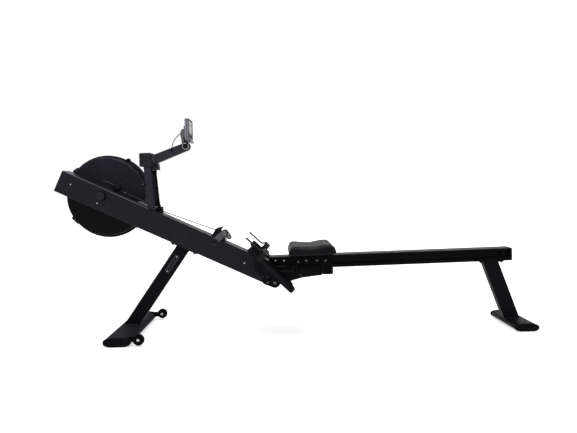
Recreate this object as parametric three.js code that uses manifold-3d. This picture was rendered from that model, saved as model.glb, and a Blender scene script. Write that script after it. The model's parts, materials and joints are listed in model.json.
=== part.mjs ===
// A folding air-resistance rowing machine, in millimetres, +Z up. The rower faces -X.
// Everything is placed from the fold pivot, which lies at x = 0, PIVOT_HEIGHT above the floor.
import * as THREE from "three";
import { mergeVertices } from "three/addons/utils/BufferGeometryUtils.js";
import Module from "manifold-3d";

const wasm = await Module();
wasm.setup();
const rad = THREE.MathUtils.degToRad;

// ---------------------------------------------------------------- driving dimensions
const GAP = 0.3; // left between two pieces that touch
const RUN = 1; // left beside a piece that turns or slides
const WALL = 4; // wall of the welded tubes
const PIVOT_HEIGHT = 257;

const BEAM_LENGTH = 1205; // from the fold pivot to the upper end
const BEAM_ANGLE = rad(25);
const BEAM_DEPTH = 112;
const BEAM_WIDTH = 100;
const BEAM_DROP = 27.5; // the underside below the pivot, measured across the beam
const BEAM_SETBACK = 28; // the lower end face in front of the pivot

const RAIL_LENGTH = 1244;
const RAIL_ANGLE = rad(1.15);
const RAIL_HEIGHT = 64;
const RAIL_WIDTH = 86;
const RAIL_RISE = 65; // the underside above the pivot, measured across the rail
const RAIL_CHANNEL_DEPTH = 17; // roller channel in each side of the rail
const RAIL_LIP_LOW = 16;
const RAIL_LIP_HIGH = 8;

const FAN_RADIUS = 206; // the flat face of the fan housing
const FAN_DEPTH = 99.4;
const FAN_FLANGE = 11; // how far the joint flange stands out past the face
const HUB_FROM_END = 216.5; // fan axle below the beam's upper end
const HUB_RISE = 36.9; // fan axle above the pivot, measured across the beam
const HUB_CAP_FROM_END = 223; // the dome that covers the axle's near end
const HUB_CAP_RISE = 44.3;
const AXLE_RADIUS = 8;

const FRONT_LEG_ANGLE = rad(34.7); // from the vertical
const REAR_LEG_ANGLE = rad(21);
const LEG_THICKNESS = 40;
const FRONT_FOOT_LENGTH = 524;
const REAR_FOOT_LENGTH = 300;
const WHEEL_RADIUS = 27;

const SEAT_LENGTH = 228;
const SEAT_WIDTH = 310;
const SEAT_START = 85; // the pad's front edge from the pivot, along the rail
const CARRIAGE_START = 91;
const CARRIAGE_LENGTH = 210;

const FOOTPLATE_LENGTH = 305;
const HEEL_END = -14; // the plate's lower end, from the middle of its heel
const FOOTPLATE_WIDTH = 100;
const FOOTPLATE_THICKNESS = 12;

const HANDLE_LENGTH = 490;
const HANDLE_RADIUS = 14;
const HANDLE_DROP = 35; // the ends below the middle
const HANDLE_LEAN = [0, 20, 0]; // turn of the bent bar's plane, in degrees
const HANDLE_SKEW = [-2.8, 0, -2.5]; // how it lies turned in its hook, in degrees
const HANDLE_HEIGHT = 37; // its middle above the beam, measured across it
const STRAP_WIDTH = 25;
const STRAP_THICKNESS = 2;

const MAST_HEIGHT = 217; // from the beam to the underside of the collar
const MAST_LEAN = rad(4.4);
const MAST_WIDTH = 35.2;
const MAST_DEPTH = 60;
const ARM_LENGTH = 178;
const ARM_ANGLE = rad(21.5);
const MONITOR_WIDTH = 130;
const MONITOR_HEIGHT = 110;
const MONITOR_THICKNESS = 18;

// ---------------------------------------------------------------- looks: colour, roughness, metalness
const LOOKS = {
  black_paint: [0x26282b, 0.45, 0.2],
  dark_paint: [0x1b1c1f, 0.5, 0.2],
  black_plastic: [0x1d1e20, 0.6, 0],
  rubber: [0x161617, 0.85, 0],
  steel: [0xb4b6b8, 0.3, 1],
  chrome: [0xd8dadc, 0.12, 1],
  silver_plastic: [0x969a9f, 0.4, 0.1],
  aluminium: [0x2a2c2f, 0.4, 0.6],
  black_vinyl: [0x37383a, 0.6, 0],
  white_plastic: [0xd9dadb, 0.5, 0],
  webbing: [0x1a1a1b, 0.9, 0],
  glass: [0x2c3532, 0.15, 0],
};

// ---------------------------------------------------------------- solids
const X = new THREE.Vector3(1, 0, 0);
const Y = new THREE.Vector3(0, 1, 0);
const Z = new THREE.Vector3(0, 0, 1);
const ACROSS = new THREE.Matrix4().makeBasis(X, Z, Y.clone().negate()); // outlines in x, z
const ALONG = new THREE.Matrix4().makeBasis(Y, Z, X); // outlines in y, z
const UP = new THREE.Matrix4(); // outlines in x, y

function fromIndexed(positions, triangles) {
  const mesh = new wasm.Mesh({ numProp: 3, vertProperties: positions, triVerts: triangles });
  return new wasm.Manifold(mesh);
}

// A three.js geometry as a manifold-3d solid, turned to face out.
function solid(geometry) {
  geometry.deleteAttribute("normal");
  geometry.deleteAttribute("uv");
  const merged = mergeVertices(geometry, 1e-4);
  const positions = new Float32Array(merged.attributes.position.array);
  const triangles = new Uint32Array(merged.index.array);
  const made = fromIndexed(positions, triangles);
  if (made.volume() > 0) return made;
  for (let i = 0; i < triangles.length; i += 3) {
    [triangles[i + 1], triangles[i + 2]] = [triangles[i + 2], triangles[i + 1]];
  }
  return fromIndexed(positions, triangles);
}

const shapeOf = (points) => new THREE.Shape(points.map(([a, b]) => new THREE.Vector2(a, b)));

// An outline pushed from one depth to another along the third axis of a frame.
function prism(points, from, to, frame) {
  const options = { depth: to - from, bevelEnabled: false };
  const geometry = new THREE.ExtrudeGeometry(shapeOf(points), options);
  geometry.translate(0, 0, from).applyMatrix4(frame);
  return solid(geometry);
}

const slabY = (points, y0, y1) => prism(points, -y1, -y0, ACROSS);
const slabX = (points, x0, x1) => prism(points, x0, x1, ALONG);
const slabZ = (points, z0, z1) => prism(points, z0, z1, UP);

function circle(a, b, radius, sides = 32) {
  return Array.from({ length: sides }, (_, i) => {
    const turn = (2 * Math.PI * i) / sides;
    return [a + radius * Math.cos(turn), b + radius * Math.sin(turn)];
  });
}

const rodY = (x, z, radius, y0, y1, sides = 32) => slabY(circle(x, z, radius, sides), y0, y1);

function rectangle(a0, b0, a1, b1) {
  return [[a0, b0], [a1, b0], [a1, b1], [a0, b1]];
}

// A polygon with every corner rounded.
function rounded(points, radius, steps = 4) {
  const out = [];
  points.forEach((corner, i) => {
    const here = new THREE.Vector2(...corner);
    const before = new THREE.Vector2(...points.at(i - 1));
    const after = new THREE.Vector2(...points[(i + 1) % points.length]);
    const back = before.clone().sub(here);
    const on = after.clone().sub(here);
    const half = Math.abs(Math.acos(back.dot(on) / (back.length() * on.length()))) / 2;
    const trim = Math.min(radius / Math.tan(half), 0.45 * back.length(), 0.45 * on.length());
    const start = here.clone().addScaledVector(back.normalize(), trim);
    const end = here.clone().addScaledVector(on.normalize(), trim);
    const arc = new THREE.QuadraticBezierCurve(start, here, end);
    arc.getPoints(steps).forEach((p) => out.push([p.x, p.y]));
  });
  return out;
}

const roundBox = (a0, b0, a1, b1, radius, steps) =>
  rounded(rectangle(a0, b0, a1, b1), radius, steps);

// A flat oval with a level underside.
function oval(a, b, width, height, steps = 40) {
  const POWER = 2 / 2.7;
  const FLAT = 0.6; // sunk below the underside before that is cut level
  const bow = (v) => Math.sign(v) * Math.abs(v) ** POWER;
  return Array.from({ length: steps }, (_, i) => {
    const turn = (2 * Math.PI * (i + 0.5)) / steps;
    const up = bow(Math.sin(turn)) * (height / 2 + FLAT / 2) - FLAT / 2;
    return [a + (width / 2) * bow(Math.cos(turn)), b + Math.max(up, -height / 2)];
  });
}

// A round bar from one point to another.
function rod(from, to, radius, sides = 24) {
  const a = new THREE.Vector3(...from);
  const b = new THREE.Vector3(...to);
  const way = b.clone().sub(a);
  const geometry = new THREE.CylinderGeometry(radius, radius, way.length(), sides);
  geometry.applyQuaternion(new THREE.Quaternion().setFromUnitVectors(Y, way.clone().normalize()));
  geometry.translate(...a.add(b).multiplyScalar(0.5).toArray());
  return solid(geometry);
}

// A closed profile of [radius, y] turned about an axis along Y.
function turned(profile, x, z, sides = 48) {
  const points = profile.map(([r, y]) => new THREE.Vector2(r, y));
  if (profile[0][0] > 0) points.push(points[0].clone());
  return solid(new THREE.LatheGeometry(points, sides).translate(x, 0, z));
}

// A thin ribbon that follows a line of [x, z] points.
function ribbon(points, thickness) {
  const side = (sign) =>
    points.map(([x, z], i) => {
      const [ax, az] = points[Math.max(i - 1, 0)];
      const [bx, bz] = points[Math.min(i + 1, points.length - 1)];
      const length = Math.hypot(bx - ax, bz - az);
      const shift = (sign * thickness) / 2 / length;
      return [x - (bz - az) * shift, z + (bx - ax) * shift];
    });
  return [...side(1), ...side(-1).reverse()];
}

const join = (...parts) => parts.reduce((all, part) => all.add(part));
const cut = (body, ...tools) => tools.reduce((left, tool) => left.subtract(tool), body);
const mirrored = (body) => body.mirror([0, 1, 0]);

// ---------------------------------------------------------------- the scene graph
const machine = new THREE.Group();
machine.name = "rowing_machine";
const bodies = new Map();

function bodyGroup(name) {
  if (!bodies.has(name)) {
    const group = new THREE.Group();
    group.name = name;
    machine.add(group);
    bodies.set(name, group);
  }
  return bodies.get(name);
}

// Adds one named mesh, with its own material, about the middle of its own box.
function node(name, bodyName, made, look) {
  const raw = made.getMesh();
  const indexed = new THREE.BufferGeometry();
  indexed.setAttribute("position", new THREE.BufferAttribute(raw.vertProperties, raw.numProp));
  indexed.setIndex(new THREE.BufferAttribute(raw.triVerts, 1));
  const geometry = indexed.toNonIndexed();
  geometry.computeVertexNormals();
  geometry.computeBoundingBox();
  const middle = geometry.boundingBox.getCenter(new THREE.Vector3());
  geometry.translate(-middle.x, -middle.y, -middle.z);
  const [color, roughness, metalness] = LOOKS[look];
  const material = new THREE.MeshStandardMaterial({ color, roughness, metalness });
  const mesh = new THREE.Mesh(geometry, material);
  mesh.name = name;
  mesh.position.copy(middle);
  bodyGroup(bodyName).add(mesh);
}

// A pair of pieces on the near (-Y) and far (+Y) side, given the far one.
function pair(name, nearBody, farBody, made, look) {
  node(`${name}_far`, farBody, made, look);
  node(`${name}_near`, nearBody, mirrored(made), look);
}

// ---------------------------------------------------------------- frames of the beam, rail and footrest
const sinB = Math.sin(BEAM_ANGLE);
const cosB = Math.cos(BEAM_ANGLE);
const beamAt = (s, t) => [-s * cosB + t * sinB, PIVOT_HEIGHT + s * sinB + t * cosB];
const beamTop = BEAM_DEPTH - BEAM_DROP;
const beamSide = BEAM_WIDTH / 2;
// Distance along the beam, at height t across it, of the point at a given x.
const beamS = (x, t) => (t * sinB - x) / cosB;
const beamBand = (s0, s1, t0, t1) => [beamAt(s0, t0), beamAt(s1, t0), beamAt(s1, t1), beamAt(s0, t1)];

const sinR = Math.sin(RAIL_ANGLE);
const cosR = Math.cos(RAIL_ANGLE);
const railAt = (r, q) => [r * cosR - q * sinR, PIVOT_HEIGHT + r * sinR + q * cosR];
const railOut = new THREE.Vector3(cosR, 0, sinR);
const railUp = new THREE.Vector3(-sinR, 0, cosR);
const pivotPoint = new THREE.Vector3(0, 0, PIVOT_HEIGHT);
const railSection = new THREE.Matrix4().makeBasis(Y, railUp, railOut).setPosition(pivotPoint);
const railPlan = new THREE.Matrix4().makeBasis(railOut, Y, railUp).setPosition(pivotPoint);
const railBand = (r0, r1, q0, q1) => [railAt(r0, q0), railAt(r1, q0), railAt(r1, q1), railAt(r0, q1)];
const railTop = RAIL_RISE + RAIL_HEIGHT;

// ---------------------------------------------------------------- main beam and its fittings
const hub = beamAt(BEAM_LENGTH - HUB_FROM_END, HUB_RISE);
const shaft = [-85, PIVOT_HEIGHT + 68]; // footrest cross shaft
const SHAFT_RADIUS = 10;
const mastS = 0.605 * BEAM_LENGTH;
const guideS = mastS - 38;
const handleS = 0.2824 * BEAM_LENGTH;
const handle = beamAt(handleS, beamTop + HANDLE_HEIGHT);

function buildBeam() {
  const lowerEnd = beamS(-BEAM_SETBACK, -BEAM_DROP);
  const lowerTop = beamS(-BEAM_SETBACK, beamTop);
  const outline = [
    beamAt(lowerEnd, -BEAM_DROP),
    beamAt(BEAM_LENGTH, -BEAM_DROP),
    beamAt(BEAM_LENGTH, beamTop),
    beamAt(lowerTop, beamTop),
  ];
  const bore = beamBand(-80, BEAM_LENGTH + 20, WALL - BEAM_DROP, beamTop - WALL);
  const outer = slabY(outline, -beamSide, beamSide);
  const inner = slabY(bore, WALL - beamSide, beamSide - WALL);
  const axleHole = rodY(...hub, AXLE_RADIUS + GAP, -beamSide - 5, beamSide + 5);
  const shaftHole = rodY(...shaft, SHAFT_RADIUS + GAP, -beamSide - 5, beamSide + 5);
  const slotHalf = STRAP_WIDTH / 2 + 2;
  const strapSlot = slabY(beamBand(guideS - 6, guideS + 17, beamTop - 8, beamTop + 4), -slotHalf, slotHalf);
  node("main_beam", "frame", cut(outer, inner, axleHole, shaftHole, strapSlot), "black_paint");

  const CAP = 3.5;
  const face = rounded(beamBand(BEAM_LENGTH + GAP, BEAM_LENGTH + GAP + CAP, -BEAM_DROP, beamTop), 1.5, 2);
  const plugBand = [WALL + RUN - BEAM_DROP, beamTop - WALL - RUN];
  const plug = slabY(
    beamBand(BEAM_LENGTH - 14, BEAM_LENGTH + 1, ...plugBand),
    WALL + RUN - beamSide,
    beamSide - WALL - RUN,
  );
  node("beam_end_cap", "frame", join(slabY(face, -beamSide, beamSide), plug), "black_plastic");
}

// ---------------------------------------------------------------- fold joint
const PIN_RADIUS = 7;
const PIN_HEAD = 10;
const CHEEK = 6;
const buttFace = -BEAM_SETBACK + GAP + CHEEK; // x of the plate the folded-out rail bears on

function buildPivot() {
  const inside = beamSide + GAP;
  const cheek = rounded(
    [
      [-62, PIVOT_HEIGHT - 6],
      [-10, PIVOT_HEIGHT - 26],
      [10, PIVOT_HEIGHT - 8],
      [10, PIVOT_HEIGHT + 10],
      [buttFace, PIVOT_HEIGHT + 40],
      [buttFace, PIVOT_HEIGHT + 66],
      [-56, PIVOT_HEIGHT + 58],
    ],
    7,
  );
  const boss = rodY(0, PIVOT_HEIGHT, 28, inside, inside + 9, 32);
  const side = join(slabY(cheek, inside, inside + CHEEK), boss);
  const railFaceTop = railAt(0, railTop)[1];
  const plate = slabX(
    rectangle(-inside - CHEEK, PIVOT_HEIGHT + 44, inside + CHEEK, railFaceTop),
    buttFace - CHEEK,
    buttFace,
  );
  const pinHole = rodY(0, PIVOT_HEIGHT, PIN_RADIUS + GAP, -inside - 20, inside + 20);
  const beamEnvelope = slabY(
    beamBand(-80, 200, -BEAM_DROP - GAP, beamTop + GAP),
    -beamSide - GAP,
    beamSide + GAP,
  );
  const inFront = slabX(rectangle(-200, 0, 200, 1000), -400, -BEAM_SETBACK + GAP);
  const bracket = cut(join(side, mirrored(side), plate), beamEnvelope.intersect(inFront), pinHole);
  node("pivot_bracket", "frame", bracket, "dark_paint");

  const outside = inside + 9 + GAP;
  const pin = join(
    rodY(0, PIVOT_HEIGHT, PIN_RADIUS, -outside - 1, outside + 1),
    rodY(0, PIVOT_HEIGHT, PIN_HEAD, outside, outside + 5, 6),
    rodY(0, PIVOT_HEIGHT, PIN_HEAD, -outside - 5, -outside, 6),
  );
  node("pivot_pin", "frame", pin, "steel");
}

function buildRailHinge() {
  const KNUCKLE = 22;
  const PLATE = 5;
  const half = beamSide - RUN;
  const web = 36;
  const seat = RAIL_RISE - GAP;
  const end = 262;
  const outline = [
    [-KNUCKLE + 4, PIVOT_HEIGHT + 4],
    railAt(-14, seat),
    railAt(end, seat),
    [end - 18, PIVOT_HEIGHT + 30],
    [139, PIVOT_HEIGHT + 18],
    [77, PIVOT_HEIGHT + 1],
    [4, PIVOT_HEIGHT - KNUCKLE + 1],
  ];
  const hollow = [
    [30, PIVOT_HEIGHT + 18],
    railAt(30, seat + 20),
    railAt(end + 20, seat + 20),
    [end + 10, PIVOT_HEIGHT + 30 + 2 * PLATE],
    [139, PIVOT_HEIGHT + 18 + PLATE],
    [77, PIVOT_HEIGHT + 1 + 2 * PLATE],
  ];
  const made = cut(
    join(slabY(outline, -web, web), rodY(0, PIVOT_HEIGHT, KNUCKLE, -half, half, 40)),
    slabY(hollow, PLATE - web, web - PLATE),
    rodY(0, PIVOT_HEIGHT, PIN_RADIUS + GAP, -half - 5, half + 5),
  );
  node("rail_hinge", "rail_arm", made, "dark_paint");
}

// ---------------------------------------------------------------- rail
const railFront = buttFace + GAP + RAIL_RISE * sinR + RAIL_HEIGHT * sinR;
const railRear = railFront + RAIL_LENGTH;
const channelLow = RAIL_RISE + RAIL_LIP_LOW;
const channelHigh = railTop - RAIL_LIP_HIGH;

function buildRail() {
  const half = RAIL_WIDTH / 2;
  const web = half - RAIL_CHANNEL_DEPTH;
  const section = [
    [-half, RAIL_RISE], [half, RAIL_RISE], [half, channelLow], [web, channelLow],
    [web, channelHigh], [half, channelHigh], [half, railTop], [-half, railTop],
    [-half, channelHigh], [-web, channelHigh], [-web, channelLow], [-half, channelLow],
  ];
  const core = roundBox(5 - web, RAIL_RISE + 6, web - 5, railTop - 6, 3, 2);
  const made = cut(
    prism(section, railFront, railRear, railSection),
    prism(core, railFront - 5, railRear + 5, railSection),
  );
  node("rail", "rail_arm", made, "aluminium");
  const cap = roundBox(-half - 1, RAIL_RISE - 1, half + 1, railTop + 1, 6);
  node("rail_end_cap", "rail_arm", prism(cap, railRear + GAP, railRear + 12, railSection), "black_plastic");
}

// ---------------------------------------------------------------- legs and feet
const frontLegS = 0.419 * BEAM_LENGTH;
const FRONT_FOOT = { width: 131, height: 45 };
const REAR_FOOT = { width: 122, height: 40 };
const CAP_RIM = 1.5; // how far a foot cap stands out round the tube

// The x where a leg's axis meets a height, going down from a point.
const legX = ([x, z], angle, height) => x + (z - height) * Math.tan(angle);
const frontLegTop = beamAt(frontLegS, -BEAM_DROP - 6);
const rearLegR = railRear - 91;
const rearLegTop = railAt(rearLegR, RAIL_RISE - 6);
const frontFootX = legX(frontLegTop, -FRONT_LEG_ANGLE, FRONT_FOOT.height / 2) + 10;
const rearFootX = legX(rearLegTop, REAR_LEG_ANGLE, REAR_FOOT.height / 2) + 12;

function buildFoot(prefix, bodyName, x, size, length, look) {
  const middle = size.height / 2;
  const tube = oval(x, middle, size.width - 2 * CAP_RIM, size.height - 2 * CAP_RIM);
  const bore = oval(x, middle, size.width - 10, size.height - 10);
  const CAP = 14;
  const end = length / 2 - CAP - GAP;
  node(`${prefix}_foot`, bodyName, cut(slabY(tube, -end, end), slabY(bore, -end - 1, end + 1)), look);
  const face = slabY(oval(x, middle, size.width, size.height), end + GAP, end + GAP + CAP);
  const plug = slabY(oval(x, middle, size.width - 12, size.height - 12), end - 14, end + 1);
  pair(`${prefix}_cap`, bodyName, bodyName, join(face, plug), "black_plastic");
}

// What a piece that stands on a foot tube leaves free for it.
function roomForFoot(x, size) {
  const slack = 2 * (GAP - CAP_RIM);
  return oval(x, size.height / 2, size.width + slack, size.height + slack);
}

// A slanting leg between a plate at its top and the foot tube.
function legOutline([x, z], angle, width, top, bottom) {
  const half = width / 2 / Math.cos(angle);
  const at = (height) => legX([x, z], angle, height);
  return [
    [at(bottom) - half, bottom], [at(bottom) + half, bottom],
    [at(top) + half, top], [at(top) - half, top],
  ];
}

function buildLegs() {
  const half = LEG_THICKNESS / 2;
  const frontTube = roomForFoot(frontFootX, FRONT_FOOT);
  const front = legOutline(frontLegTop, -FRONT_LEG_ANGLE, 67, frontLegTop[1] + 90, 25);
  const above = beamBand(-400, BEAM_LENGTH + 400, -BEAM_DROP - GAP, beamTop + 400);
  const saddle = beamBand(frontLegS - 80, frontLegS + 66, -BEAM_DROP - 6, -BEAM_DROP - GAP);
  const frontLeg = cut(
    join(slabY(front, -half, half), slabY(saddle, -half - 18, half + 18)),
    slabY(above, -200, 200),
    slabY(frontTube, -200, 200),
  );
  node("front_leg", "frame", frontLeg, "dark_paint");
  buildFoot("front", "frame", frontFootX, FRONT_FOOT, FRONT_FOOT_LENGTH, "dark_paint");

  const rearTube = roomForFoot(rearFootX, REAR_FOOT);
  const rear = legOutline(rearLegTop, REAR_LEG_ANGLE, 77, rearLegTop[1] + 30, 20);
  const rearSaddle = railBand(rearLegR - 62, rearLegR + 62, RAIL_RISE - 6, RAIL_RISE - GAP);
  const rearLeg = cut(
    join(slabY(rear, -half, half), slabY(rearSaddle, -half - 16, half + 16)),
    slabY(railBand(0, railRear + 300, RAIL_RISE - GAP, railTop + 200), -200, 200),
    slabY(rearTube, -200, 200),
  );
  node("rear_leg", "rail_arm", rearLeg, "dark_paint");
  buildFoot("rear", "rail_arm", rearFootX, REAR_FOOT, REAR_FOOT_LENGTH, "dark_paint");
}

// A blank plaque held on the near face of the front leg.
function buildPlaque() {
  const along = new THREE.Vector3(-Math.sin(FRONT_LEG_ANGLE), 0, -Math.cos(FRONT_LEG_ANGLE));
  const aside = new THREE.Vector3(Math.cos(FRONT_LEG_ANGLE), 0, -Math.sin(FRONT_LEG_ANGLE));
  const origin = new THREE.Vector3(frontLegTop[0], 0, frontLegTop[1]);
  const frame = new THREE.Matrix4().makeBasis(aside, along, aside.clone().cross(along));
  const onNear = frame.setPosition(origin);
  const face = LEG_THICKNESS / 2 + GAP;
  const outward = aside.clone().cross(along).y < 0 ? 1 : -1;
  const span = [outward * face, outward * (face + 2)].sort((a, b) => a - b);
  const plate = prism(roundBox(-14, 48, 14, 154, 4), ...span, onNear);
  node("leg_plaque", "frame", plate, "silver_plastic");
}

function buildTransportWheels() {
  const x = frontFootX + FRONT_FOOT.width / 2 + 36;
  const z = WHEEL_RADIUS + 5;
  const WIDTH = 20;
  const middle = FRONT_FOOT_LENGTH / 2 - 12;
  const inner = middle - WIDTH / 2 - RUN;
  const PLATE = 6;
  const arm = rounded(
    [
      [x - 62, z - 14], [x - 8, z - 14], [x + 12, z - 8],
      [x + 12, z + 10], [x - 10, z + 14], [x - 62, z + 12],
    ],
    8,
  );
  const foot = roomForFoot(frontFootX, FRONT_FOOT);
  const fork = cut(
    join(slabY(arm, inner - PLATE, inner), rodY(x, z, 5, inner - 1, middle + WIDTH / 2 + 1)),
    slabY(foot, 0, 400),
  );
  pair("wheel_arm", "frame", "frame", fork, "dark_paint");
  const profile = [
    [5 + GAP, -WIDTH / 2], [10, -WIDTH / 2], [12, 2 - WIDTH / 2], [WHEEL_RADIUS - 6, 2 - WIDTH / 2],
    [WHEEL_RADIUS - 5, -WIDTH / 2], [WHEEL_RADIUS, 3 - WIDTH / 2], [WHEEL_RADIUS, WIDTH / 2 - 3],
    [WHEEL_RADIUS - 5, WIDTH / 2], [WHEEL_RADIUS - 6, WIDTH / 2 - 2], [12, WIDTH / 2 - 2],
    [10, WIDTH / 2], [5 + GAP, WIDTH / 2],
  ];
  const wheel = turned(profile, x, z, 28).translate([0, middle, 0]);
  pair("transport_wheel", "wheel_near", "wheel_far", wheel, "rubber");
}

// ---------------------------------------------------------------- fan, housing, axle and drum
const housingFace = beamSide + GAP;
const housingMiddle = housingFace + FAN_DEPTH / 2;
const housingBack = housingFace + FAN_DEPTH;
const LUG_TURNS = [60, -40, 142, -149].map(rad);
const KNOB = { s: BEAM_LENGTH - HUB_FROM_END - 37.5, t: beamTop + 21.5, radius: 17 };
const KNOB_TRAVEL = 60;

// One dish of the housing: flat face at y0, open flange at y1.
function dish(y0, y1) {
  const out = Math.sign(y1 - y0);
  const flange = FAN_RADIUS + FAN_FLANGE;
  const profile = [
    [AXLE_RADIUS + RUN, y0], [FAN_RADIUS - 7, y0], [FAN_RADIUS, y0 + out * 7],
    [FAN_RADIUS + 2, y1 - out * 5], [flange, y1 - out * 4], [flange, y1],
    [FAN_RADIUS - 2, y1], [FAN_RADIUS - 3, y0 + out * 8], [FAN_RADIUS - 8, y0 + out * 3],
    [AXLE_RADIUS + RUN, y0 + out * 3],
  ];
  const lugs = LUG_TURNS.map((turn) => {
    const reach = flange + 1;
    const x = hub[0] + reach * Math.cos(turn);
    const z = hub[1] + reach * Math.sin(turn);
    const [a, b] = [y1 - out * 5, y1].sort((p, q) => p - q);
    return rodY(x, z, 13, a, b, 16);
  });
  return join(turned(profile, ...hub, 56), ...lugs);
}

// Slots round the rim of a dish between two depths.
function rimSlots(y0, y1, count) {
  return Array.from({ length: count }, (_, i) => {
    const slot = rectangle(FAN_RADIUS - 12, -9, FAN_RADIUS + 4, 9);
    return slabY(slot, y0, y1).rotate([0, (360 * i) / count, 0]).translate([hub[0], 0, hub[1]]);
  });
}

function buildHousing() {
  const flangeGap = GAP / 2;
  const slotFrame = beamBand(KNOB.s - 5, KNOB.s + KNOB_TRAVEL + 5, KNOB.t - 4, KNOB.t + 4);
  const nearSlot = slabY(slotFrame, housingFace - 1, housingFace + 5);
  const nearVents = rimSlots(housingFace + 14, housingMiddle - 12, 24);
  const near = cut(dish(housingFace, housingMiddle - flangeGap), nearSlot, ...nearVents);
  node("fan_cover_near", "frame", near, "black_plastic");

  const farVents = rimSlots(housingMiddle + 12, housingBack - 14, 24);
  const rays = Array.from({ length: 18 }, (_, i) => {
    const slot = roundBox(0.36 * FAN_RADIUS, -7, 0.86 * FAN_RADIUS, 7, 6, 1);
    const bar = slabY(slot, housingBack - 8, housingBack + 5);
    return bar.rotate([0, 20 * i, 0]).translate([hub[0], 0, hub[1]]);
  });
  const boss = rodY(...hub, 20, housingBack - 10, housingBack + 4);
  const socket = rodY(...hub, AXLE_RADIUS + GAP, housingBack - 12, housingBack - 2);
  const bridge = rodY(...hub, 24, housingBack - 3, housingBack);
  const far = cut(
    join(dish(housingBack, housingMiddle + flangeGap), bridge, boss),
    socket,
    ...farVents,
    ...rays,
  );
  node("fan_cover_far", "frame", far, "black_plastic");
}

function buildFan() {
  const y0 = housingFace + 12;
  const y1 = housingBack - 14;
  const tip = FAN_RADIUS - 16;
  const blade = rectangle(0.62 * tip, -1.5, tip, 1.5);
  const blades = Array.from({ length: 20 }, (_, i) =>
    slabY(blade, y0, y1).rotate([0, 18 * i, 0]).translate([hub[0], 0, hub[1]]),
  );
  const wheel = cut(
    join(
      rodY(...hub, 24, y0, y1),
      rodY(...hub, 0.8 * tip, housingMiddle - 2, housingMiddle + 2, 36),
      ...blades,
    ),
    rodY(...hub, AXLE_RADIUS + GAP, y0 - 5, y1 + 5),
  );
  node("fan_wheel", "fan", wheel, "silver_plastic");
  node("fan_axle", "fan", rodY(...hub, AXLE_RADIUS, GAP - beamSide, housingBack - 2 - GAP), "steel");

  const DRUM = 28;
  const flange = DRUM + 6;
  const half = STRAP_WIDTH / 2 + 1.5;
  const drum = cut(
    join(
      rodY(...hub, DRUM, -half - 1, half + 1, 32),
      rodY(...hub, flange, half, half + 3, 32),
      rodY(...hub, flange, -half - 3, -half, 32),
    ),
    rodY(...hub, AXLE_RADIUS + GAP, -half - 9, half + 9),
  );
  node("strap_drum", "drum", drum, "black_plastic");

  const cap = [
    [0, -beamSide - 15], [8, -beamSide - 14.5], [16, -beamSide - 11.5], [21, -beamSide - 7],
    [23.5, -beamSide - 2], [23.5, -beamSide - GAP], [0, -beamSide - GAP],
  ];
  const capAt = beamAt(BEAM_LENGTH - HUB_CAP_FROM_END, HUB_CAP_RISE);
  node("hub_cap", "frame", turned(cap, ...capAt, 32), "black_plastic");
}

function buildResistanceKnob() {
  const [x, z] = beamAt(KNOB.s, KNOB.t);
  const wall = 3;
  const face = housingFace - GAP;
  const grip = [
    [0, face - 16], [KNOB.radius - 5, face - 16], [KNOB.radius, face - 11], [KNOB.radius, face],
    [3.5, face], [3.5, housingFace + wall + GAP], [7, housingFace + wall + GAP],
    [7, housingFace + wall + 2.5], [0, housingFace + wall + 2.5],
  ];
  node("resistance_knob", "resistance", turned(grip, x, z, 32), "black_plastic");
}

// ---------------------------------------------------------------- handle, strap, hook and guide
const guide = beamAt(guideS, beamTop + 9);
const pullWay = new THREE.Vector2(guide[0] - handle[0], guide[1] - handle[1]).normalize();
const alongStrap = (distance) => [handle[0] + pullWay.x * distance, handle[1] + pullWay.y * distance];
const LUG_REACH = HANDLE_RADIUS + 18;

function buildHandle() {
  const [x, z] = handle;
  const CENTRE = 45;
  const GRIP = 135;
  const half = HANDLE_LENGTH / 2;
  const tilt = Math.atan2(HANDLE_DROP, half - CENTRE);
  const wing = (distance) => [x, CENTRE + distance * Math.cos(tilt), z - distance * Math.sin(tilt)];
  const reach = (half - CENTRE) / Math.cos(tilt);
  const start = reach - GRIP;
  const thick = rod(wing(-4), wing(start), HANDLE_RADIUS, 28);
  const thin = rod(wing(start - 1), wing(reach - 6), HANDLE_RADIUS - 3, 24);
  const side = join(thick, thin);
  const middle = rodY(x, z, HANDLE_RADIUS, -CENTRE, CENTRE, 28);
  const lay = (made) =>
    made.translate([-x, 0, -z]).rotate(HANDLE_LEAN).rotate(HANDLE_SKEW).translate([x, 0, z]);
  node("handle_bar", "handle", lay(join(middle, side, mirrored(side))), "dark_paint");
  const sleeve = cut(
    rod(wing(start + GAP), wing(reach), HANDLE_RADIUS + 1.5, 28),
    rod(wing(start - 5), wing(reach - 6 + GAP), HANDLE_RADIUS - 3 + GAP, 24),
  );
  node("handle_grip_far", "handle", lay(sleeve), "rubber");
  node("handle_grip_near", "handle", lay(mirrored(sleeve)), "rubber");

  const lug = ribbon([handle, alongStrap(LUG_REACH)], 9);
  const slit = ribbon([alongStrap(LUG_REACH - 9), alongStrap(LUG_REACH + 2)], 3);
  const clevis = cut(
    join(rodY(x, z, HANDLE_RADIUS + 5, -10, 10, 28), slabY(lug, -10, 10)),
    rodY(x, z, HANDLE_RADIUS + 3 * GAP, -12, 12, 28),
    slabY(slit, -12, 12),
  );
  node("handle_clevis", "handle", clevis, "dark_paint");
}

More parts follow.
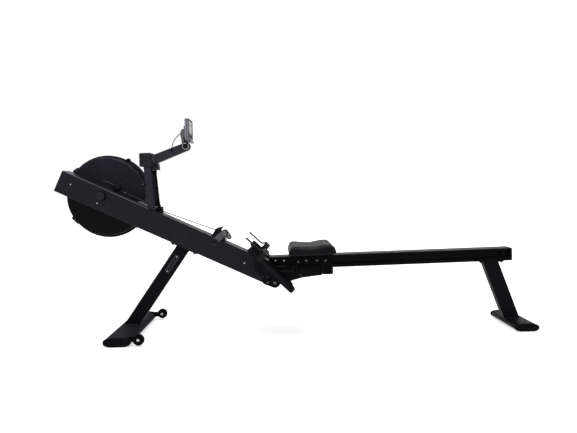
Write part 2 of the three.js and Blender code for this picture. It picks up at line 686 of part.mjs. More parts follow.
function buildStrap() {
  const drumTop = beamAt(BEAM_LENGTH - HUB_FROM_END, HUB_RISE + 28 + GAP + STRAP_THICKNESS / 2);
  const route = [
    alongStrap(LUG_REACH + 1),
    guide,
    beamAt(guideS + 6, beamTop + 5),
    beamAt(guideS + 12, beamTop - 8),
    drumTop,
  ];
  const half = STRAP_WIDTH / 2;
  const strap = slabY(ribbon(route, STRAP_THICKNESS), -half, half);
  const end = ribbon([alongStrap(LUG_REACH - 8.5), alongStrap(LUG_REACH + 2)], STRAP_THICKNESS);
  node("pull_strap", "frame", join(strap, slabY(end, -9, 9)), "webbing");
}

function buildHook() {
  const [x, z] = handle;
  const at = ([a, b]) => [x + a, z + b];
  const CRADLE = HANDLE_RADIUS + 2.4; // takes the bar as it lies, turned a little
  const arm = [[-66, -14], [-42, 26], [-8, 34], [-8, 27], [-36, 19], [-54, -12]].map(at);
  const base = [
    [-66, -70], [-66, -12], [-50, -10], [-24, -8],
    [-8, -15], [1, -18], [5, -27], [7, -70],
  ].map(at);
  const below = beamBand(-200, BEAM_LENGTH, -200, beamTop + GAP);
  const slot = slabY(rectangle(x - 90, z - HANDLE_RADIUS - 5 - RUN, x + 60, z + 80), -13, 13);
  const made = cut(
    join(slabY(rounded(arm, 5, 3), -35, 35), slabY(base, -35, 35)),
    rodY(x, z, CRADLE, -40, 40, 28),
    slabY(below, -60, 60),
    slot,
  );
  node("handle_hook", "frame", made, "black_plastic");
}

function buildGuide() {
  const [x, z] = guide;
  const half = STRAP_WIDTH / 2 + 9;
  const outline = rounded([[x - 16, z - 60], [x - 16, z + 18], [x + 12, z + 18], [x + 12, z - 60]], 4, 3);
  const room = STRAP_WIDTH / 2 + RUN;
  const tunnel = ribbon([alongStrap(260), guide, beamAt(guideS + 12, beamTop - 6)], 9);
  const gland = slabZ(circle(x - 5, 0, 9, 20), z + 17, z + 27);
  const made = cut(
    join(slabY(outline, -half, half), gland),
    slabY(tunnel, -room, room),
    slabY(beamBand(0, BEAM_LENGTH, -200, beamTop + GAP), -80, 80),
  );
  node("strap_guide", "frame", made, "black_plastic");
  return [x - 5, z + 27];
}

// ---------------------------------------------------------------- mast, arm and monitor
const mastFoot = beamAt(mastS, beamTop);
const mastTop = [
  mastFoot[0] - MAST_HEIGHT * Math.sin(MAST_LEAN),
  mastFoot[1] + MAST_HEIGHT * Math.cos(MAST_LEAN),
];
const COLLAR = { width: 62, height: 70, half: 36 };
const ARM_GAP = 6; // between the collar and the arm's root
const collarRight = mastTop[0] + 25.8;
const armPin = [collarRight + ARM_GAP + 11.5, mastTop[1] + 8];
const armRoot = [collarRight + ARM_GAP + GAP, mastTop[1] + 36];
const tiltPin = [
  armRoot[0] + ARM_LENGTH * Math.cos(ARM_ANGLE),
  armRoot[1] + ARM_LENGTH * Math.sin(ARM_ANGLE),
];
const ARM_HALF = 15; // half the arm's width across the machine

function buildMast(glandTop) {
  const half = MAST_WIDTH / 2;
  const lean = Math.tan(MAST_LEAN);
  const at = (z) => mastFoot[0] - (z - mastFoot[1]) * lean;
  const low = mastFoot[1] - 40;
  const high = mastTop[1] - GAP;
  const outline = [
    [at(low) - half, low], [at(low) + half, low],
    [at(high) + half, high], [at(high) - half, high],
  ];
  const flange = beamBand(mastS - 20, mastS + 80, beamTop + GAP, beamTop + 5);
  const mast = cut(
    join(slabY(outline, -MAST_DEPTH / 2, MAST_DEPTH / 2), slabY(flange, -40, 40)),
    slabY(beamBand(0, BEAM_LENGTH, -200, beamTop + GAP), -80, 80),
  );
  node("mast", "frame", mast, "dark_paint");

  const [right, base] = [collarRight, mastTop[1]];
  const block = roundBox(right - COLLAR.width, base, right, base + COLLAR.height, 8);
  const out = right + 23 + ARM_GAP;
  const ear = rounded([[right - 12, base - 16], [out, base - 16], [out, base + 14],
    [right + 10, base + 22], [right - 12, base + 22]], 6);
  const ears = slabY(ear, ARM_HALF + GAP, ARM_HALF + 6);
  const bridgeOutline = roundBox(right + 1, base - 16, out - 1, base - 6, 2, 2);
  const bridge = slabY(bridgeOutline, -ARM_HALF - 1, ARM_HALF + 1);
  const collar = cut(
    join(slabY(block, -COLLAR.half, COLLAR.half), ears, mirrored(ears), bridge),
    rodY(...armPin, 5 + GAP, -40, 40),
    slabY(rectangle(right - 14, base - 40, right - 0.02, base), -80, 80),
  );
  node("mast_collar", "frame", collar, "black_plastic");

  const clear = 0.5; // at the cable's slanting ends
  const top = [right + 10, 0, base - 16 - clear];
  const cable = rod(top, [glandTop[0], 0, glandTop[1] + clear], 5, 12);
  node("mast_cable", "frame", cable, "rubber");
}

function buildArm() {
  const normal = [-Math.sin(ARM_ANGLE), Math.cos(ARM_ANGLE)];
  const rootZ = armRoot[1];
  const side = (sign, thick) => [
    tiltPin[0] + sign * thick * normal[0],
    tiltPin[1] + sign * thick * normal[1],
  ];
  const outline = [
    [armRoot[0], rootZ - 24], side(-1, 21), side(1, 21), [armRoot[0], rootZ + 26],
  ];
  const arm = join(
    slabY(outline, -ARM_HALF, ARM_HALF),
    rodY(...tiltPin, 21, -ARM_HALF, ARM_HALF, 32),
    rodY(...armPin, 10.6, -ARM_HALF, ARM_HALF, 28),
    slabY([[armPin[0] - 5, armPin[1]], [armPin[0] + 9, armPin[1]], [armPin[0] + 9, rootZ],
      [armPin[0] - 9, rootZ]], -ARM_HALF, ARM_HALF),
    rodY(...armPin, 5, -ARM_HALF - 6, ARM_HALF + 6),
  );
  node("monitor_arm", "arm", cut(arm, rodY(...tiltPin, 5 + GAP, -40, 40)), "black_plastic");
}

function buildMonitor() {
  const [px, pz] = tiltPin;
  const back = px + 5;
  const front = back + MONITOR_THICKNESS;
  const bottom = pz + 28;
  const top = bottom + MONITOR_HEIGHT;
  const half = MONITOR_WIDTH / 2;
  const lip = [
    [back + 4, bottom + 8], [front, bottom + 8],
    [front + 12, bottom - 8], [back + 8, bottom - 8],
  ];
  const BUMP = 13;
  const bump = slabX(roundBox(-22, bottom + 40, 22, bottom + 78, 5), back - BUMP, back + 1);
  const screen = [-half + 14, bottom + 40, half - 14, top - 12];
  const DEEP = 2.5;
  const recess = slabX(roundBox(...screen, 4), front - DEEP, front + 1);
  const buttonSpots = [-32, 0, 32].map((y) => [y, bottom + 23]);
  const PRESS = 1.2;
  const wells = buttonSpots.map(([y, z]) => slabX(circle(y, z, 6 + GAP, 20), front - 6, front + 1));
  const caseSolid = cut(
    join(
      slabX(roundBox(-half, bottom, half, top, 12), back, front),
      slabY(rounded(lip, 3, 2), 14 - half, half - 14),
      bump,
    ),
    recess,
    ...wells,
  );
  node("monitor_case", "monitor", caseSolid, "silver_plastic");
  const [y0, z0, y1, z1] = screen;
  const pane = roundBox(y0 + GAP, z0 + GAP, y1 - GAP, z1 - GAP, 4);
  node("monitor_screen", "monitor", slabX(pane, front - DEEP + GAP, front - 0.5), "glass");
  buttonSpots.forEach(([y, z], i) => {
    const cap = slabX(circle(y, z, 6, 20), front - 6 + PRESS + GAP, front + 1.8);
    node(`button_${"abc"[i]}`, `button_${"abc"[i]}`, cap, "black_plastic");
  });

  const inside = ARM_HALF + GAP;
  const outside = inside + 5;
  const cheek = rounded(
    [
      [px - 10, pz - 12], [px + 12, pz - 12], [px + 17, pz + 14], [back - GAP, bottom - 3],
      [back - GAP, bottom + 34], [back - 6, bottom + 34], [px - 12, pz + 14],
    ],
    5,
  );
  const sideways = slabY(cheek, inside, outside);
  const bridge = slabX(roundBox(-outside, bottom, outside, bottom + 34, 3, 2), back - 6, back - GAP);
  const clearRoom = rodY(px, pz, 21 + RUN + 1, -inside, inside, 32);
  const bracket = cut(
    join(sideways, mirrored(sideways), bridge),
    clearRoom,
    rodY(px, pz, 5 + GAP, -60, 60),
  );
  node("monitor_bracket", "monitor", bracket, "black_plastic");

  const knobFace = -outside - GAP;
  const knob = join(
    rodY(px, pz, 5, knobFace - 5, outside + 7, 24),
    turned([[0, knobFace - 12], [11, knobFace - 12], [11, knobFace - 9.5], [14, knobFace - 12],
      [17, knobFace - 10], [17, knobFace], [0, knobFace]], px, pz, 40),
    rodY(px, pz, 9, outside + GAP, outside + 7, 6),
  );
  node("tilt_knob", "monitor", knob, "chrome");

  const outlet = 0.56 * ARM_LENGTH; // from the arm's root to the cable's grommet
  const grommet = [
    armRoot[0] + outlet * Math.cos(ARM_ANGLE),
    armRoot[1] + outlet * Math.sin(ARM_ANGLE) + 9,
  ];
  const bumpBack = [back - BUMP - GAP, bottom + 52];
  const route = new THREE.CatmullRomCurve3(
    [
      [grommet[0], -ARM_HALF - 2 * GAP, grommet[1]],
      [grommet[0], -ARM_HALF - 6, grommet[1]],
      [grommet[0] + 6, -ARM_HALF - 8, grommet[1] + 30],
      [grommet[0] + 18, -ARM_HALF - 3, grommet[1] + 56],
      [bumpBack[0] - 16, -6, bumpBack[1] - 8],
      [bumpBack[0] - 6, 0, bumpBack[1]],
      [bumpBack[0], 0, bumpBack[1]],
    ].map((p) => new THREE.Vector3(...p)),
    false,
    "centripetal",
  );
  const around = shapeOf(circle(0, 0, 2, 8));
  const cable = new THREE.ExtrudeGeometry(around, { steps: 40, bevelEnabled: false, extrudePath: route });
  node("monitor_cable", "arm", solid(cable), "rubber");
}

// ---------------------------------------------------------------- footrests
const footUp = new THREE.Vector3(-Math.SQRT1_2, 0, Math.SQRT1_2);
const footOut = new THREE.Vector3(Math.SQRT1_2, 0, Math.SQRT1_2);
const heel = [90, PIVOT_HEIGHT - 9];
const footFrame = new THREE.Matrix4()
  .makeBasis(Y, footUp, footOut)
  .setPosition(heel[0], 0, heel[1]);
const footAt = (u, n) => [
  heel[0] + (n - u) * Math.SQRT1_2,
  heel[1] + (n + u) * Math.SQRT1_2,
];
const footInner = beamSide + 40;
const footMiddle = footInner + FOOTPLATE_WIDTH / 2;
const footOuter = footInner + FOOTPLATE_WIDTH;
const HEEL_TRAVEL = 50;

function buildFootrests() {
  const plateTop = -13; // below the rim's edge
  const toe = HEEL_END + FOOTPLATE_LENGTH;
  const outline = roundBox(footInner, HEEL_END, footOuter, toe, 34, 4);
  const inset = roundBox(footInner + 5, HEEL_END + 5, footOuter - 5, toe - 5, 30, 4);
  const keySlot = [footMiddle - 5, 70, footMiddle + 5, 70 + HEEL_TRAVEL + 24];
  const plate = cut(
    prism(outline, plateTop - FOOTPLATE_THICKNESS, 0, footFrame),
    prism(inset, plateTop, 5, footFrame),
    prism(roundBox(...keySlot, 3, 2), -80, 5, footFrame),
  );
  const under = plateTop - FOOTPLATE_THICKNESS;
  const ribs = [footInner + 12, footOuter - 20].map((y) => {
    const fin = [footAt(120, under + 1), footAt(240, under + 1), [shaft[0] - 12, shaft[1] + 8],
      [shaft[0] + 8, shaft[1] - 12]];
    return join(slabY(fin, y, y + 8), rodY(...shaft, 18, y, y + 8));
  });
  const shaftHole = rodY(...shaft, SHAFT_RADIUS + GAP, 0, 400);
  pair("footplate", "frame", "frame", cut(join(plate, ...ribs), shaftHole), "black_plastic");
  const end = footOuter - 6;
  node("footrest_shaft", "frame", rodY(...shaft, SHAFT_RADIUS, -end, end), "dark_paint");

  const base = plateTop + GAP;
  const wide = [footInner + 8, footOuter - 8];
  const sole = prism(roundBox(wide[0], 8, wide[1], 130, 28, 4), base, base + 5, footFrame);
  const wallOut = prism(roundBox(wide[0], 8, wide[1], 130, 28, 4), base, base + 20, footFrame);
  const wallIn = prism(roundBox(wide[0] + 4, 12, wide[1] - 4, 160, 25, 4), base + 1, base + 60, footFrame);
  const slope = slabY([footAt(80, base + 30), footAt(140, base + 30), footAt(140, base + 3)], 0, 400);
  const key = prism(
    roundBox(keySlot[0] + GAP, keySlot[1] + GAP, keySlot[2] - GAP, keySlot[1] + 23, 3, 2),
    base - 8, base + 1, footFrame,
  );
  const cup = join(cut(wallOut, wallIn, slope), sole, key);
  pair("heel_cup", "heel_near", "heel_far", cup, "rubber");

  const ARCH = 46;
  const SKIN = 2.5;
  const low = under + 2;
  const arch = (inset, base) => {
    const near = footInner - GAP - SKIN + inset;
    const far = footOuter + GAP + SKIN - inset;
    const top = ARCH - inset;
    return rounded(
      [
        [near, base], [far, base], [far, 0.6 * top],
        [footMiddle + 22, top], [footMiddle - 22, top], [near, 0.6 * top],
      ],
      14,
      5,
    );
  };
  const back = footUp.clone().negate();
  const strapFrame = new THREE.Matrix4().makeBasis(Y, footOut, back).setPosition(heel[0], 0, heel[1]);
  const strap = cut(
    prism(arch(0, low - 30), -231, -206, strapFrame),
    prism(arch(SKIN, low - 40), -240, -190, strapFrame),
    prism(rectangle(0, low - 80, 400, low), -240, -190, strapFrame),
  );
  pair("toe_strap", "frame", "frame", strap, "webbing");
}

// ---------------------------------------------------------------- seat
function buildSeat() {
  const r0 = CARRIAGE_START;
  const r1 = CARRIAGE_START + CARRIAGE_LENGTH;
  const inside = RAIL_WIDTH / 2 + 7;
  const PLATE = 6;
  const seatLow = railTop + 15;
  const deckLow = railTop + 4;
  const axleQ = (channelLow + channelHigh) / 2;
  const axles = [r0 + 33, r1 - 37];
  const legs = [[r0 + 2, r0 + 27], [r1 - 53, r1]];
  const foot = RAIL_RISE - 34;
  const cheek = [
    [r0 + 2, deckLow + 6], [r0 + 2, foot], [r0 + 27, foot], [r0 + 44, axleQ - 16],
    [r1 - 66, axleQ - 16], [r1 - 53, foot], [r1, foot], [r1, deckLow + 6],
  ].map(([r, q]) => railAt(r, q));
  const side = slabY(rounded(cheek, 6, 3), inside, inside + PLATE);
  const stubs = axles.map((r) => rodY(...railAt(r, axleQ), 5, inside - 24, inside + PLATE));
  const glides = legs.map(([a, b]) =>
    slabY(railBand(a + 2, b - 2, RAIL_RISE - 12, RAIL_RISE - GAP), inside - 9, inside + 1),
  );
  const half = join(side, ...stubs, ...glides);
  const deck = slabY(railBand(r0 + 2, r1, deckLow, seatLow - GAP), -inside - PLATE, inside + PLATE);
  node("seat_carriage", "seat", join(half, mirrored(half), deck), "dark_paint");

  const rollerRadius = (channelHigh - channelLow) / 2 - GAP;
  const web = RAIL_WIDTH / 2 - RAIL_CHANNEL_DEPTH;
  axles.forEach((r, i) => {
    const [x, z] = railAt(r, axleQ);
    const y0 = web + 2;
    const y1 = y0 + 12;
    const profile = [[5 + GAP, y0], [rollerRadius - 2, y0], [rollerRadius, y0 + 2],
      [rollerRadius, y1 - 2], [rollerRadius - 2, y1], [5 + GAP, y1]];
    const name = `roller_${["front", "rear"][i]}`;
    pair(name, `${name}_near`, `${name}_far`, turned(profile, x, z, 24), "white_plastic");
  });

  const high = seatLow + 36;
  const padEnd = SEAT_START + SEAT_LENGTH;
  const profile = [
    [SEAT_START, seatLow], [padEnd, seatLow], [padEnd, high + 8],
    [padEnd - 66, high + 2], [SEAT_START, high - 2],
  ].map(([r, q]) => railAt(r, q));
  const plan = roundBox(SEAT_START, -SEAT_WIDTH / 2, padEnd, SEAT_WIDTH / 2, 46, 8);
  const pad = slabY(rounded(profile, 10, 4), -SEAT_WIDTH, SEAT_WIDTH)
    .intersect(prism(plan, seatLow - 5, high + 20, railPlan));
  node("seat_pad", "seat", pad, "black_vinyl");
}

// ---------------------------------------------------------------- assembly
buildBeam();
buildPivot();
buildHousing();
buildFan();
buildResistanceKnob();
buildHook();
buildStrap();
const glandTop = buildGuide();
buildMast(glandTop);
buildLegs();
buildPlaque();
buildTransportWheels();
buildFootrests();
buildHandle();
buildArm();
buildMonitor();
buildRailHinge();
buildRail();
buildSeat();

// The part stands on z = 0 with the middle of its outline at x = y = 0.
machine.updateMatrixWorld(true);
const outline = new THREE.Box3().setFromObject(machine);
machine.position.set(-(outline.min.x + outline.max.x) / 2, 0, -outline.min.z);

export default machine;
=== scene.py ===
import json
import math

import bmesh
import bpy
from mathutils import Matrix, Vector
from mathutils.bvhtree import BVHTree

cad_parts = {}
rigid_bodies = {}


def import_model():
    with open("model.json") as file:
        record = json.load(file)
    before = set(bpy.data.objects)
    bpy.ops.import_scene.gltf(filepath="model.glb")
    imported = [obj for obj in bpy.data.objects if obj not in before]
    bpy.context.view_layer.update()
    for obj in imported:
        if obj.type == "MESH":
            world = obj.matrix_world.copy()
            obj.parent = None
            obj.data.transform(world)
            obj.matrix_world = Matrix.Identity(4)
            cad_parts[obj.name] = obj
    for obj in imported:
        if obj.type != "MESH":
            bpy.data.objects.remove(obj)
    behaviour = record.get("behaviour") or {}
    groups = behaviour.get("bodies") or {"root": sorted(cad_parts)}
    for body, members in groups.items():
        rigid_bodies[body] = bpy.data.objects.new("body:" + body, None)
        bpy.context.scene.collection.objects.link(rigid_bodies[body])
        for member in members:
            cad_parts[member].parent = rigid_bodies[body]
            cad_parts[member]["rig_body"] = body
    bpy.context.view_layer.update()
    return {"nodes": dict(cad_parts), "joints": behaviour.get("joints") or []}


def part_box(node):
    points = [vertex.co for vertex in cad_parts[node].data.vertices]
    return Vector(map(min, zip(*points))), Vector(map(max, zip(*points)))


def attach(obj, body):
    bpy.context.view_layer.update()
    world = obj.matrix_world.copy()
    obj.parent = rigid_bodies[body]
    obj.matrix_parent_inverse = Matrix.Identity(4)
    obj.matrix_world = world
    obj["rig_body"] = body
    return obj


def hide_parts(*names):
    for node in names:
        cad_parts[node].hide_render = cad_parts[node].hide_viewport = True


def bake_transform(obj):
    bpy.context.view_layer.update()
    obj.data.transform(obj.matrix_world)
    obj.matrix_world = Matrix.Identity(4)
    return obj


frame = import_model()

# ------------------------------------------------------------------ places, in mm from the fold pivot
MM = 0.001
JOINTS = {joint["name"]: joint for joint in frame["joints"]}
PIVOT_X = JOINTS["rail_fold"]["pos_m"][0]
PIVOT_Z = JOINTS["rail_fold"]["pos_m"][2] / MM
TO_ROW = Matrix.Translation((PIVOT_X, 0, 0)) @ Matrix.Scale(MM, 4)
SIDES = {"near": -1, "far": 1}

BEAM_ANGLE = math.radians(25)
BEAM_TOP = 84.5
BEAM_LOW = -27.5
BEAM_SIDE = 50
BEAM_LENGTH = 1205
RAIL_ANGLE = math.radians(1.15)
RAIL_SIDE = 43
RAIL_LOW = 65
RAIL_TOP = 129
RAIL_FRONT = -19.1
RAIL_REAR = 1224.9
AXLE_Q = 101  # height of the seat rollers' axles
X = Vector((1, 0, 0))
Y = Vector((0, 1, 0))
Z = Vector((0, 0, 1))
BEAM_UP = Vector((math.sin(BEAM_ANGLE), 0, math.cos(BEAM_ANGLE)))
BEAM_OUT = Vector((-math.cos(BEAM_ANGLE), 0, math.sin(BEAM_ANGLE)))
RAIL_UP = Vector((-math.sin(RAIL_ANGLE), 0, math.cos(RAIL_ANGLE)))
RAIL_OUT = Vector((math.cos(RAIL_ANGLE), 0, math.sin(RAIL_ANGLE)))
FOOT_UP = Vector((-math.sqrt(0.5), 0, math.sqrt(0.5)))
FOOT_OUT = Vector((math.sqrt(0.5), 0, math.sqrt(0.5)))
HEEL = Vector((90, 0, PIVOT_Z - 9))
PIVOT = Vector((0, 0, PIVOT_Z))


def beam_at(s, t, y=0):
    """s along the beam from the pivot, t up from its axis."""
    return PIVOT + BEAM_OUT * s + BEAM_UP * t + Y * y


def rail_at(r, q, y=0):
    """r along the rail from the pivot, q up from its axis."""
    return PIVOT + RAIL_OUT * r + RAIL_UP * q + Y * y


def foot_at(u, n, y):
    """u up a footrest from its heel, n out of it."""
    return HEEL + FOOT_UP * u + FOOT_OUT * n + Y * y


def in_mm(point_m):
    return Vector(((point_m[0] - PIVOT_X) / MM, point_m[1] / MM, point_m[2] / MM))


def row(point):
    """The same point in the row frame, in metres."""
    return TO_ROW @ Vector(point)


HUB = in_mm(JOINTS["drum_spin"]["pos_m"])
HANDLE = in_mm(JOINTS["handle_pull"]["pos_m"])
TILT = in_mm(JOINTS["monitor_tilt"]["pos_m"])


# ------------------------------------------------------------------ camera, floor and light
CAMERA_PLACE = (PIVOT_X + 0.017, -2.6, 0.740)
CAMERA_TURN = [math.radians(angle) for angle in (1.3, -3.27, 0.85)]  # yaw, pitch and roll
CAMERA_LENS = 31.2
LAMPS = (  # name, place, aim, size, watts
    ("top_box", (-0.1, 0.25, 3.4), (-0.05, 0, 0.3), (3.8, 2.6), 70),
    ("key_box", (-2.4, -2.2, 2.8), (-0.1, 0, 0.5), (1.6, 1.6), 18),
    ("fill_box", (2.4, -2.0, 1.8), (0.2, 0, 0.4), (1.6, 1.6), 3),
)
WORLD_LIGHT = 0.5
FLOOR_HALF = 14
FLOOR_FADE = {"From Min": 1.2, "From Max": 4.0, "To Min": 0.5, "To Max": 1.0}  # metres, and shares of white


def link_object(name, data):
    obj = bpy.data.objects.new(name, data)
    bpy.context.scene.collection.objects.link(obj)
    return obj


def camera_rotation(yaw, pitch, roll):
    ahead = Vector((math.sin(yaw) * math.cos(pitch), math.cos(yaw) * math.cos(pitch), math.sin(pitch)))
    right = ahead.cross(Z).normalized()
    up = right.cross(ahead)
    turned_right = right * math.cos(roll) - up * math.sin(roll)
    turned_up = right * math.sin(roll) + up * math.cos(roll)
    return Matrix((turned_right, turned_up, -ahead)).transposed()


def make_camera():
    data = bpy.data.cameras.new("camera")
    data.sensor_width = 36
    data.lens = CAMERA_LENS
    data.clip_end = 50
    camera = link_object("camera", data)
    camera.matrix_world = Matrix.Translation(CAMERA_PLACE) @ camera_rotation(*CAMERA_TURN).to_4x4()
    bpy.context.scene.camera = camera


def add_lamp(name, place, aim, size, watts):
    data = bpy.data.lights.new(name, "AREA")
    data.shape = "RECTANGLE"
    data.size, data.size_y = size
    data.energy = watts
    lamp = link_object(name, data)
    lamp.location = place
    lamp.rotation_mode = "QUATERNION"
    lamp.rotation_quaternion = (Vector(aim) - Vector(place)).to_track_quat("-Z", "Y")


def connect(tree, node, inputs):
    """Sets each input to its value, or links it to the socket given for it."""
    for key, value in inputs.items():
        if isinstance(value, bpy.types.NodeSocket):
            tree.links.new(value, node.inputs[key])
        else:
            node.inputs[key].default_value = value


def add_node(tree, kind, inputs=None, out=0, **settings):
    """Adds a node and returns one of its outputs."""
    node = tree.nodes.new("ShaderNode" + kind)
    for name, value in settings.items():
        setattr(node, name, value)
    connect(tree, node, inputs or {})
    return node.outputs[out]


def seen_directly(tree):
    """1 for camera, mirror and glass rays, 0 for the light that falls on things."""
    total = add_node(tree, "LightPath", out="Is Camera Ray")
    rays = total.node.outputs
    for ray in ("Is Glossy Ray", "Is Transmission Ray"):
        total = add_node(tree, "Math", {0: total, 1: rays[ray]}, operation="MAXIMUM")
    return total


def make_world():
    world = bpy.data.worlds.new("studio")
    bpy.context.scene.world = world
    world.use_nodes = True
    tree = world.node_tree
    tree.nodes.clear()
    output = tree.nodes.new("ShaderNodeOutputWorld")
    seen = add_node(tree, "Background", {"Color": (1, 1, 1, 1)})
    light = add_node(tree, "Background", {"Color": (0.97, 0.985, 1, 1), "Strength": WORLD_LIGHT})
    connect(tree, output, {0: add_node(tree, "MixShader", {0: seen_directly(tree), 1: light, 2: seen})})


def make_floor():
    """A pale floor that fades to white away from the machine."""
    bm = bmesh.new()
    bmesh.ops.create_grid(bm, x_segments=8, y_segments=8, size=FLOOR_HALF)
    mesh = bpy.data.meshes.new("floor")
    bm.to_mesh(mesh)
    floor = link_object("floor", mesh)
    material = bpy.data.materials.new("floor_paper")
    material.use_nodes = True
    tree = material.node_tree
    shader = tree.nodes["Principled BSDF"]
    connect(tree, shader, {"Base Color": (0.93, 0.93, 0.93, 1), "Roughness": 0.9, "Specular IOR Level": 0})
    place = add_node(tree, "TexCoord", out="Object")
    distance = add_node(tree, "VectorMath", {0: place}, "Value", operation="LENGTH")
    fade = add_node(tree, "MapRange", {**FLOOR_FADE, "Value": distance}, interpolation_type="SMOOTHSTEP")
    glow = add_node(tree, "Emission", {"Strength": fade})
    none = add_node(tree, "Emission", {"Strength": 0})
    shown = add_node(tree, "MixShader", {0: seen_directly(tree), 1: none, 2: glow})
    both = add_node(tree, "AddShader", {0: shader.outputs[0], 1: shown})
    connect(tree, tree.nodes["Material Output"], {"Surface": both})
    mesh.materials.append(material)


bpy.context.scene.view_settings.view_transform = "Standard"
make_camera()
make_world()
make_floor()
for lamp in LAMPS:
    add_lamp(*lamp)


# ------------------------------------------------------------------ materials
DUST = (0.16, 0.16, 0.155)


def opaque(colour):
    return (*colour, 1) if isinstance(colour, tuple) else colour


class Look:
    """A node material whose patterns are set in millimetres of the object's own space."""

    def __init__(self, slot, name, colour, rough, specular=0.5, metal=0.0):
        self.material = bpy.data.materials.new(name)
        self.material.use_nodes = True
        self.tree = self.material.node_tree
        self.shader = self.tree.nodes["Principled BSDF"]
        connect(self.tree, self.shader, {"Metallic": metal, "Specular IOR Level": specular})
        self.colour = colour
        self.rough = rough
        self.normal = None
        self.place = self.node("TexCoord", out="Object")
        self.uv = self.place.node.outputs["UV"]

    def node(self, *what, **settings):
        return add_node(self.tree, *what, **settings)

    def tint(self, factor):
        return tuple(c * factor for c in self.colour)

    def mapped(self, scale=(1, 1, 1), turn=(0, 0, 0), source=None):
        """Coordinates in millimetres, squeezed by scale along each axis."""
        inputs = {"Rotation": turn, "Scale": [v / MM for v in scale], "Vector": source or self.place}
        return self.node("Mapping", inputs)

    def noise(self, size, detail=3, scale=(1, 1, 1), turn=(0, 0, 0), source=None):
        """Noise with features about size mm across."""
        inputs = {"Scale": 1 / size, "Detail": detail, "Vector": self.mapped(scale, turn, source)}
        return self.node("TexNoise", inputs, "Fac")

    def cells(self, size, feature="F1"):
        inputs = {"Scale": 1 / size, "Vector": self.mapped()}
        return self.node("TexVoronoi", inputs, "Distance", feature=feature)

    def math(self, operation, a, b=0.0, c=0.0):
        return self.node("Math", {0: a, 1: b, 2: c}, operation=operation)

    def ramp(self, value, low, high, out_low=0.0, out_high=1.0):
        inputs = {"Value": value, "From Min": low, "From Max": high, "To Min": out_low, "To Max": out_high}
        return self.node("MapRange", inputs, interpolation_type="SMOOTHSTEP")

    def blended(self, first, second, share):
        """Two colours, or sockets, mixed by a socket."""
        return self.node("Mix", {"Factor": share, 6: opaque(first), 7: opaque(second)}, 2, data_type="RGBA")

    def shades(self, size, spread):
        """The base colour, a little darker and lighter in patches about size mm across."""
        patches = self.ramp(self.noise(size, 4), 0.3, 0.7)
        return self.blended(self.tint(1 - spread), self.tint(1 + spread), patches)

    def worn(self, colour, factor, size, amount):
        """Adds scattered patches of the base colour times factor."""
        return self.blended(colour, self.tint(factor), self.ramp(self.noise(size, 6), 0.56, 0.74, 0, amount))

    def dusty(self, colour, amount=0.04):
        """Fine dust on what faces up."""
        normal = self.node("NewGeometry", out="Normal")
        up = self.ramp(self.node("SeparateXYZ", {0: normal}, "Z"), 0.55, 1.0)
        speck = self.ramp(self.noise(3.5, 5), 0.45, 0.75, 0, amount)
        return self.blended(colour, DUST, self.math("MULTIPLY", up, speck))

    def along(self, direction):
        """How far each point lies along a direction, in metres."""
        return self.node("VectorMath", {0: self.place, 1: direction}, "Value", operation="DOT_PRODUCT")

    def bump(self, height, strength, depth):
        """Adds relief about depth mm deep."""
        inputs = {"Strength": strength, "Distance": depth * MM, "Height": height}
        if self.normal:
            inputs["Normal"] = self.normal
        self.normal = self.node("Bump", inputs)

    def done(self, colour, rough_spread=0.05, rough_size=25):
        low, high = self.rough - rough_spread, self.rough + rough_spread
        rough = self.ramp(self.noise(rough_size, 5), 0.3, 0.7, low, high)
        connect(self.tree, self.shader, {"Base Color": colour, "Roughness": rough, "Normal": self.normal})
        return self.material


def powder_coat(*basics):
    look = Look("frame_dark", *basics)
    look.bump(look.noise(0.9, 2), 0.35, 0.05)
    look.bump(look.noise(4.5, 2), 0.15, 0.12)
    return look.done(look.dusty(look.worn(look.shades(60, 0.12), 1.6, 9, 0.35)))


def moulded(name, colour, rough, specular, grain=0.8, slot="black_plastic"):
    look = Look(slot, name, colour, rough, specular)
    look.bump(look.cells(grain), 0.4, 0.06)
    look.bump(look.noise(0.5, 3), 0.3, 0.05)
    return look.done(look.dusty(look.shades(35, 0.14)), 0.06, 12)


def housing_plastic(*basics):
    """Moulded plastic with painted shade: deeper black on the part of the fan housing that hangs below the
    beam, where the beam's shadow falls.
    """
    look = Look("black_plastic", *basics)
    look.bump(look.cells(1.1), 0.4, 0.06)
    look.bump(look.noise(0.5, 3), 0.3, 0.05)
    middle = row(PIVOT).dot(BEAM_UP)
    above = look.ramp(look.along(BEAM_UP), middle + BEAM_LOW * MM, middle + BEAM_TOP * MM)
    # painted shade: below the beam the colour falls to 0.12 of its own, for the beam's shadow on the housing
    painted_beam_shade = look.blended(look.tint(0.12), look.shades(35, 0.14), above)
    return look.done(look.dusty(painted_beam_shade, 0.015), 0.06, 12)


def case_plastic(*basics):
    """A two-tone case: silver halves with a dark joint line between them, and a dark front frame."""
    look = Look("silver_plastic", *basics)
    look.bump(look.cells(0.4), 0.4, 0.06)
    seam = (CASE_BACK + CASE_DEPTH / 2 + 0.5) * MM + PIVOT_X
    away = look.math("ABSOLUTE", look.math("SUBTRACT", look.along(X), seam))
    beside = look.ramp(away, 1.0 * MM, 1.9 * MM)
    look.bump(beside, 0.8, 0.6)
    face = (CASE_FRONT - 2.2) * MM + PIVOT_X
    framed = look.ramp(look.along(X), face, face + 0.5 * MM)
    silver = look.blended(look.tint(0.08), look.shades(18, 0.16), beside)
    return look.done(look.dusty(look.blended(silver, look.tint(0.25), framed)), 0.06, 12)


def rubber(*basics):
    look = Look("rubber_black", *basics)
    look.bump(look.noise(0.6, 4), 0.5, 0.06)
    look.bump(look.noise(7, 2), 0.2, 0.15)
    return look.done(look.dusty(look.worn(look.shades(18, 0.2), 2.5, 5, 0.4), 0.05), 0.07, 8)


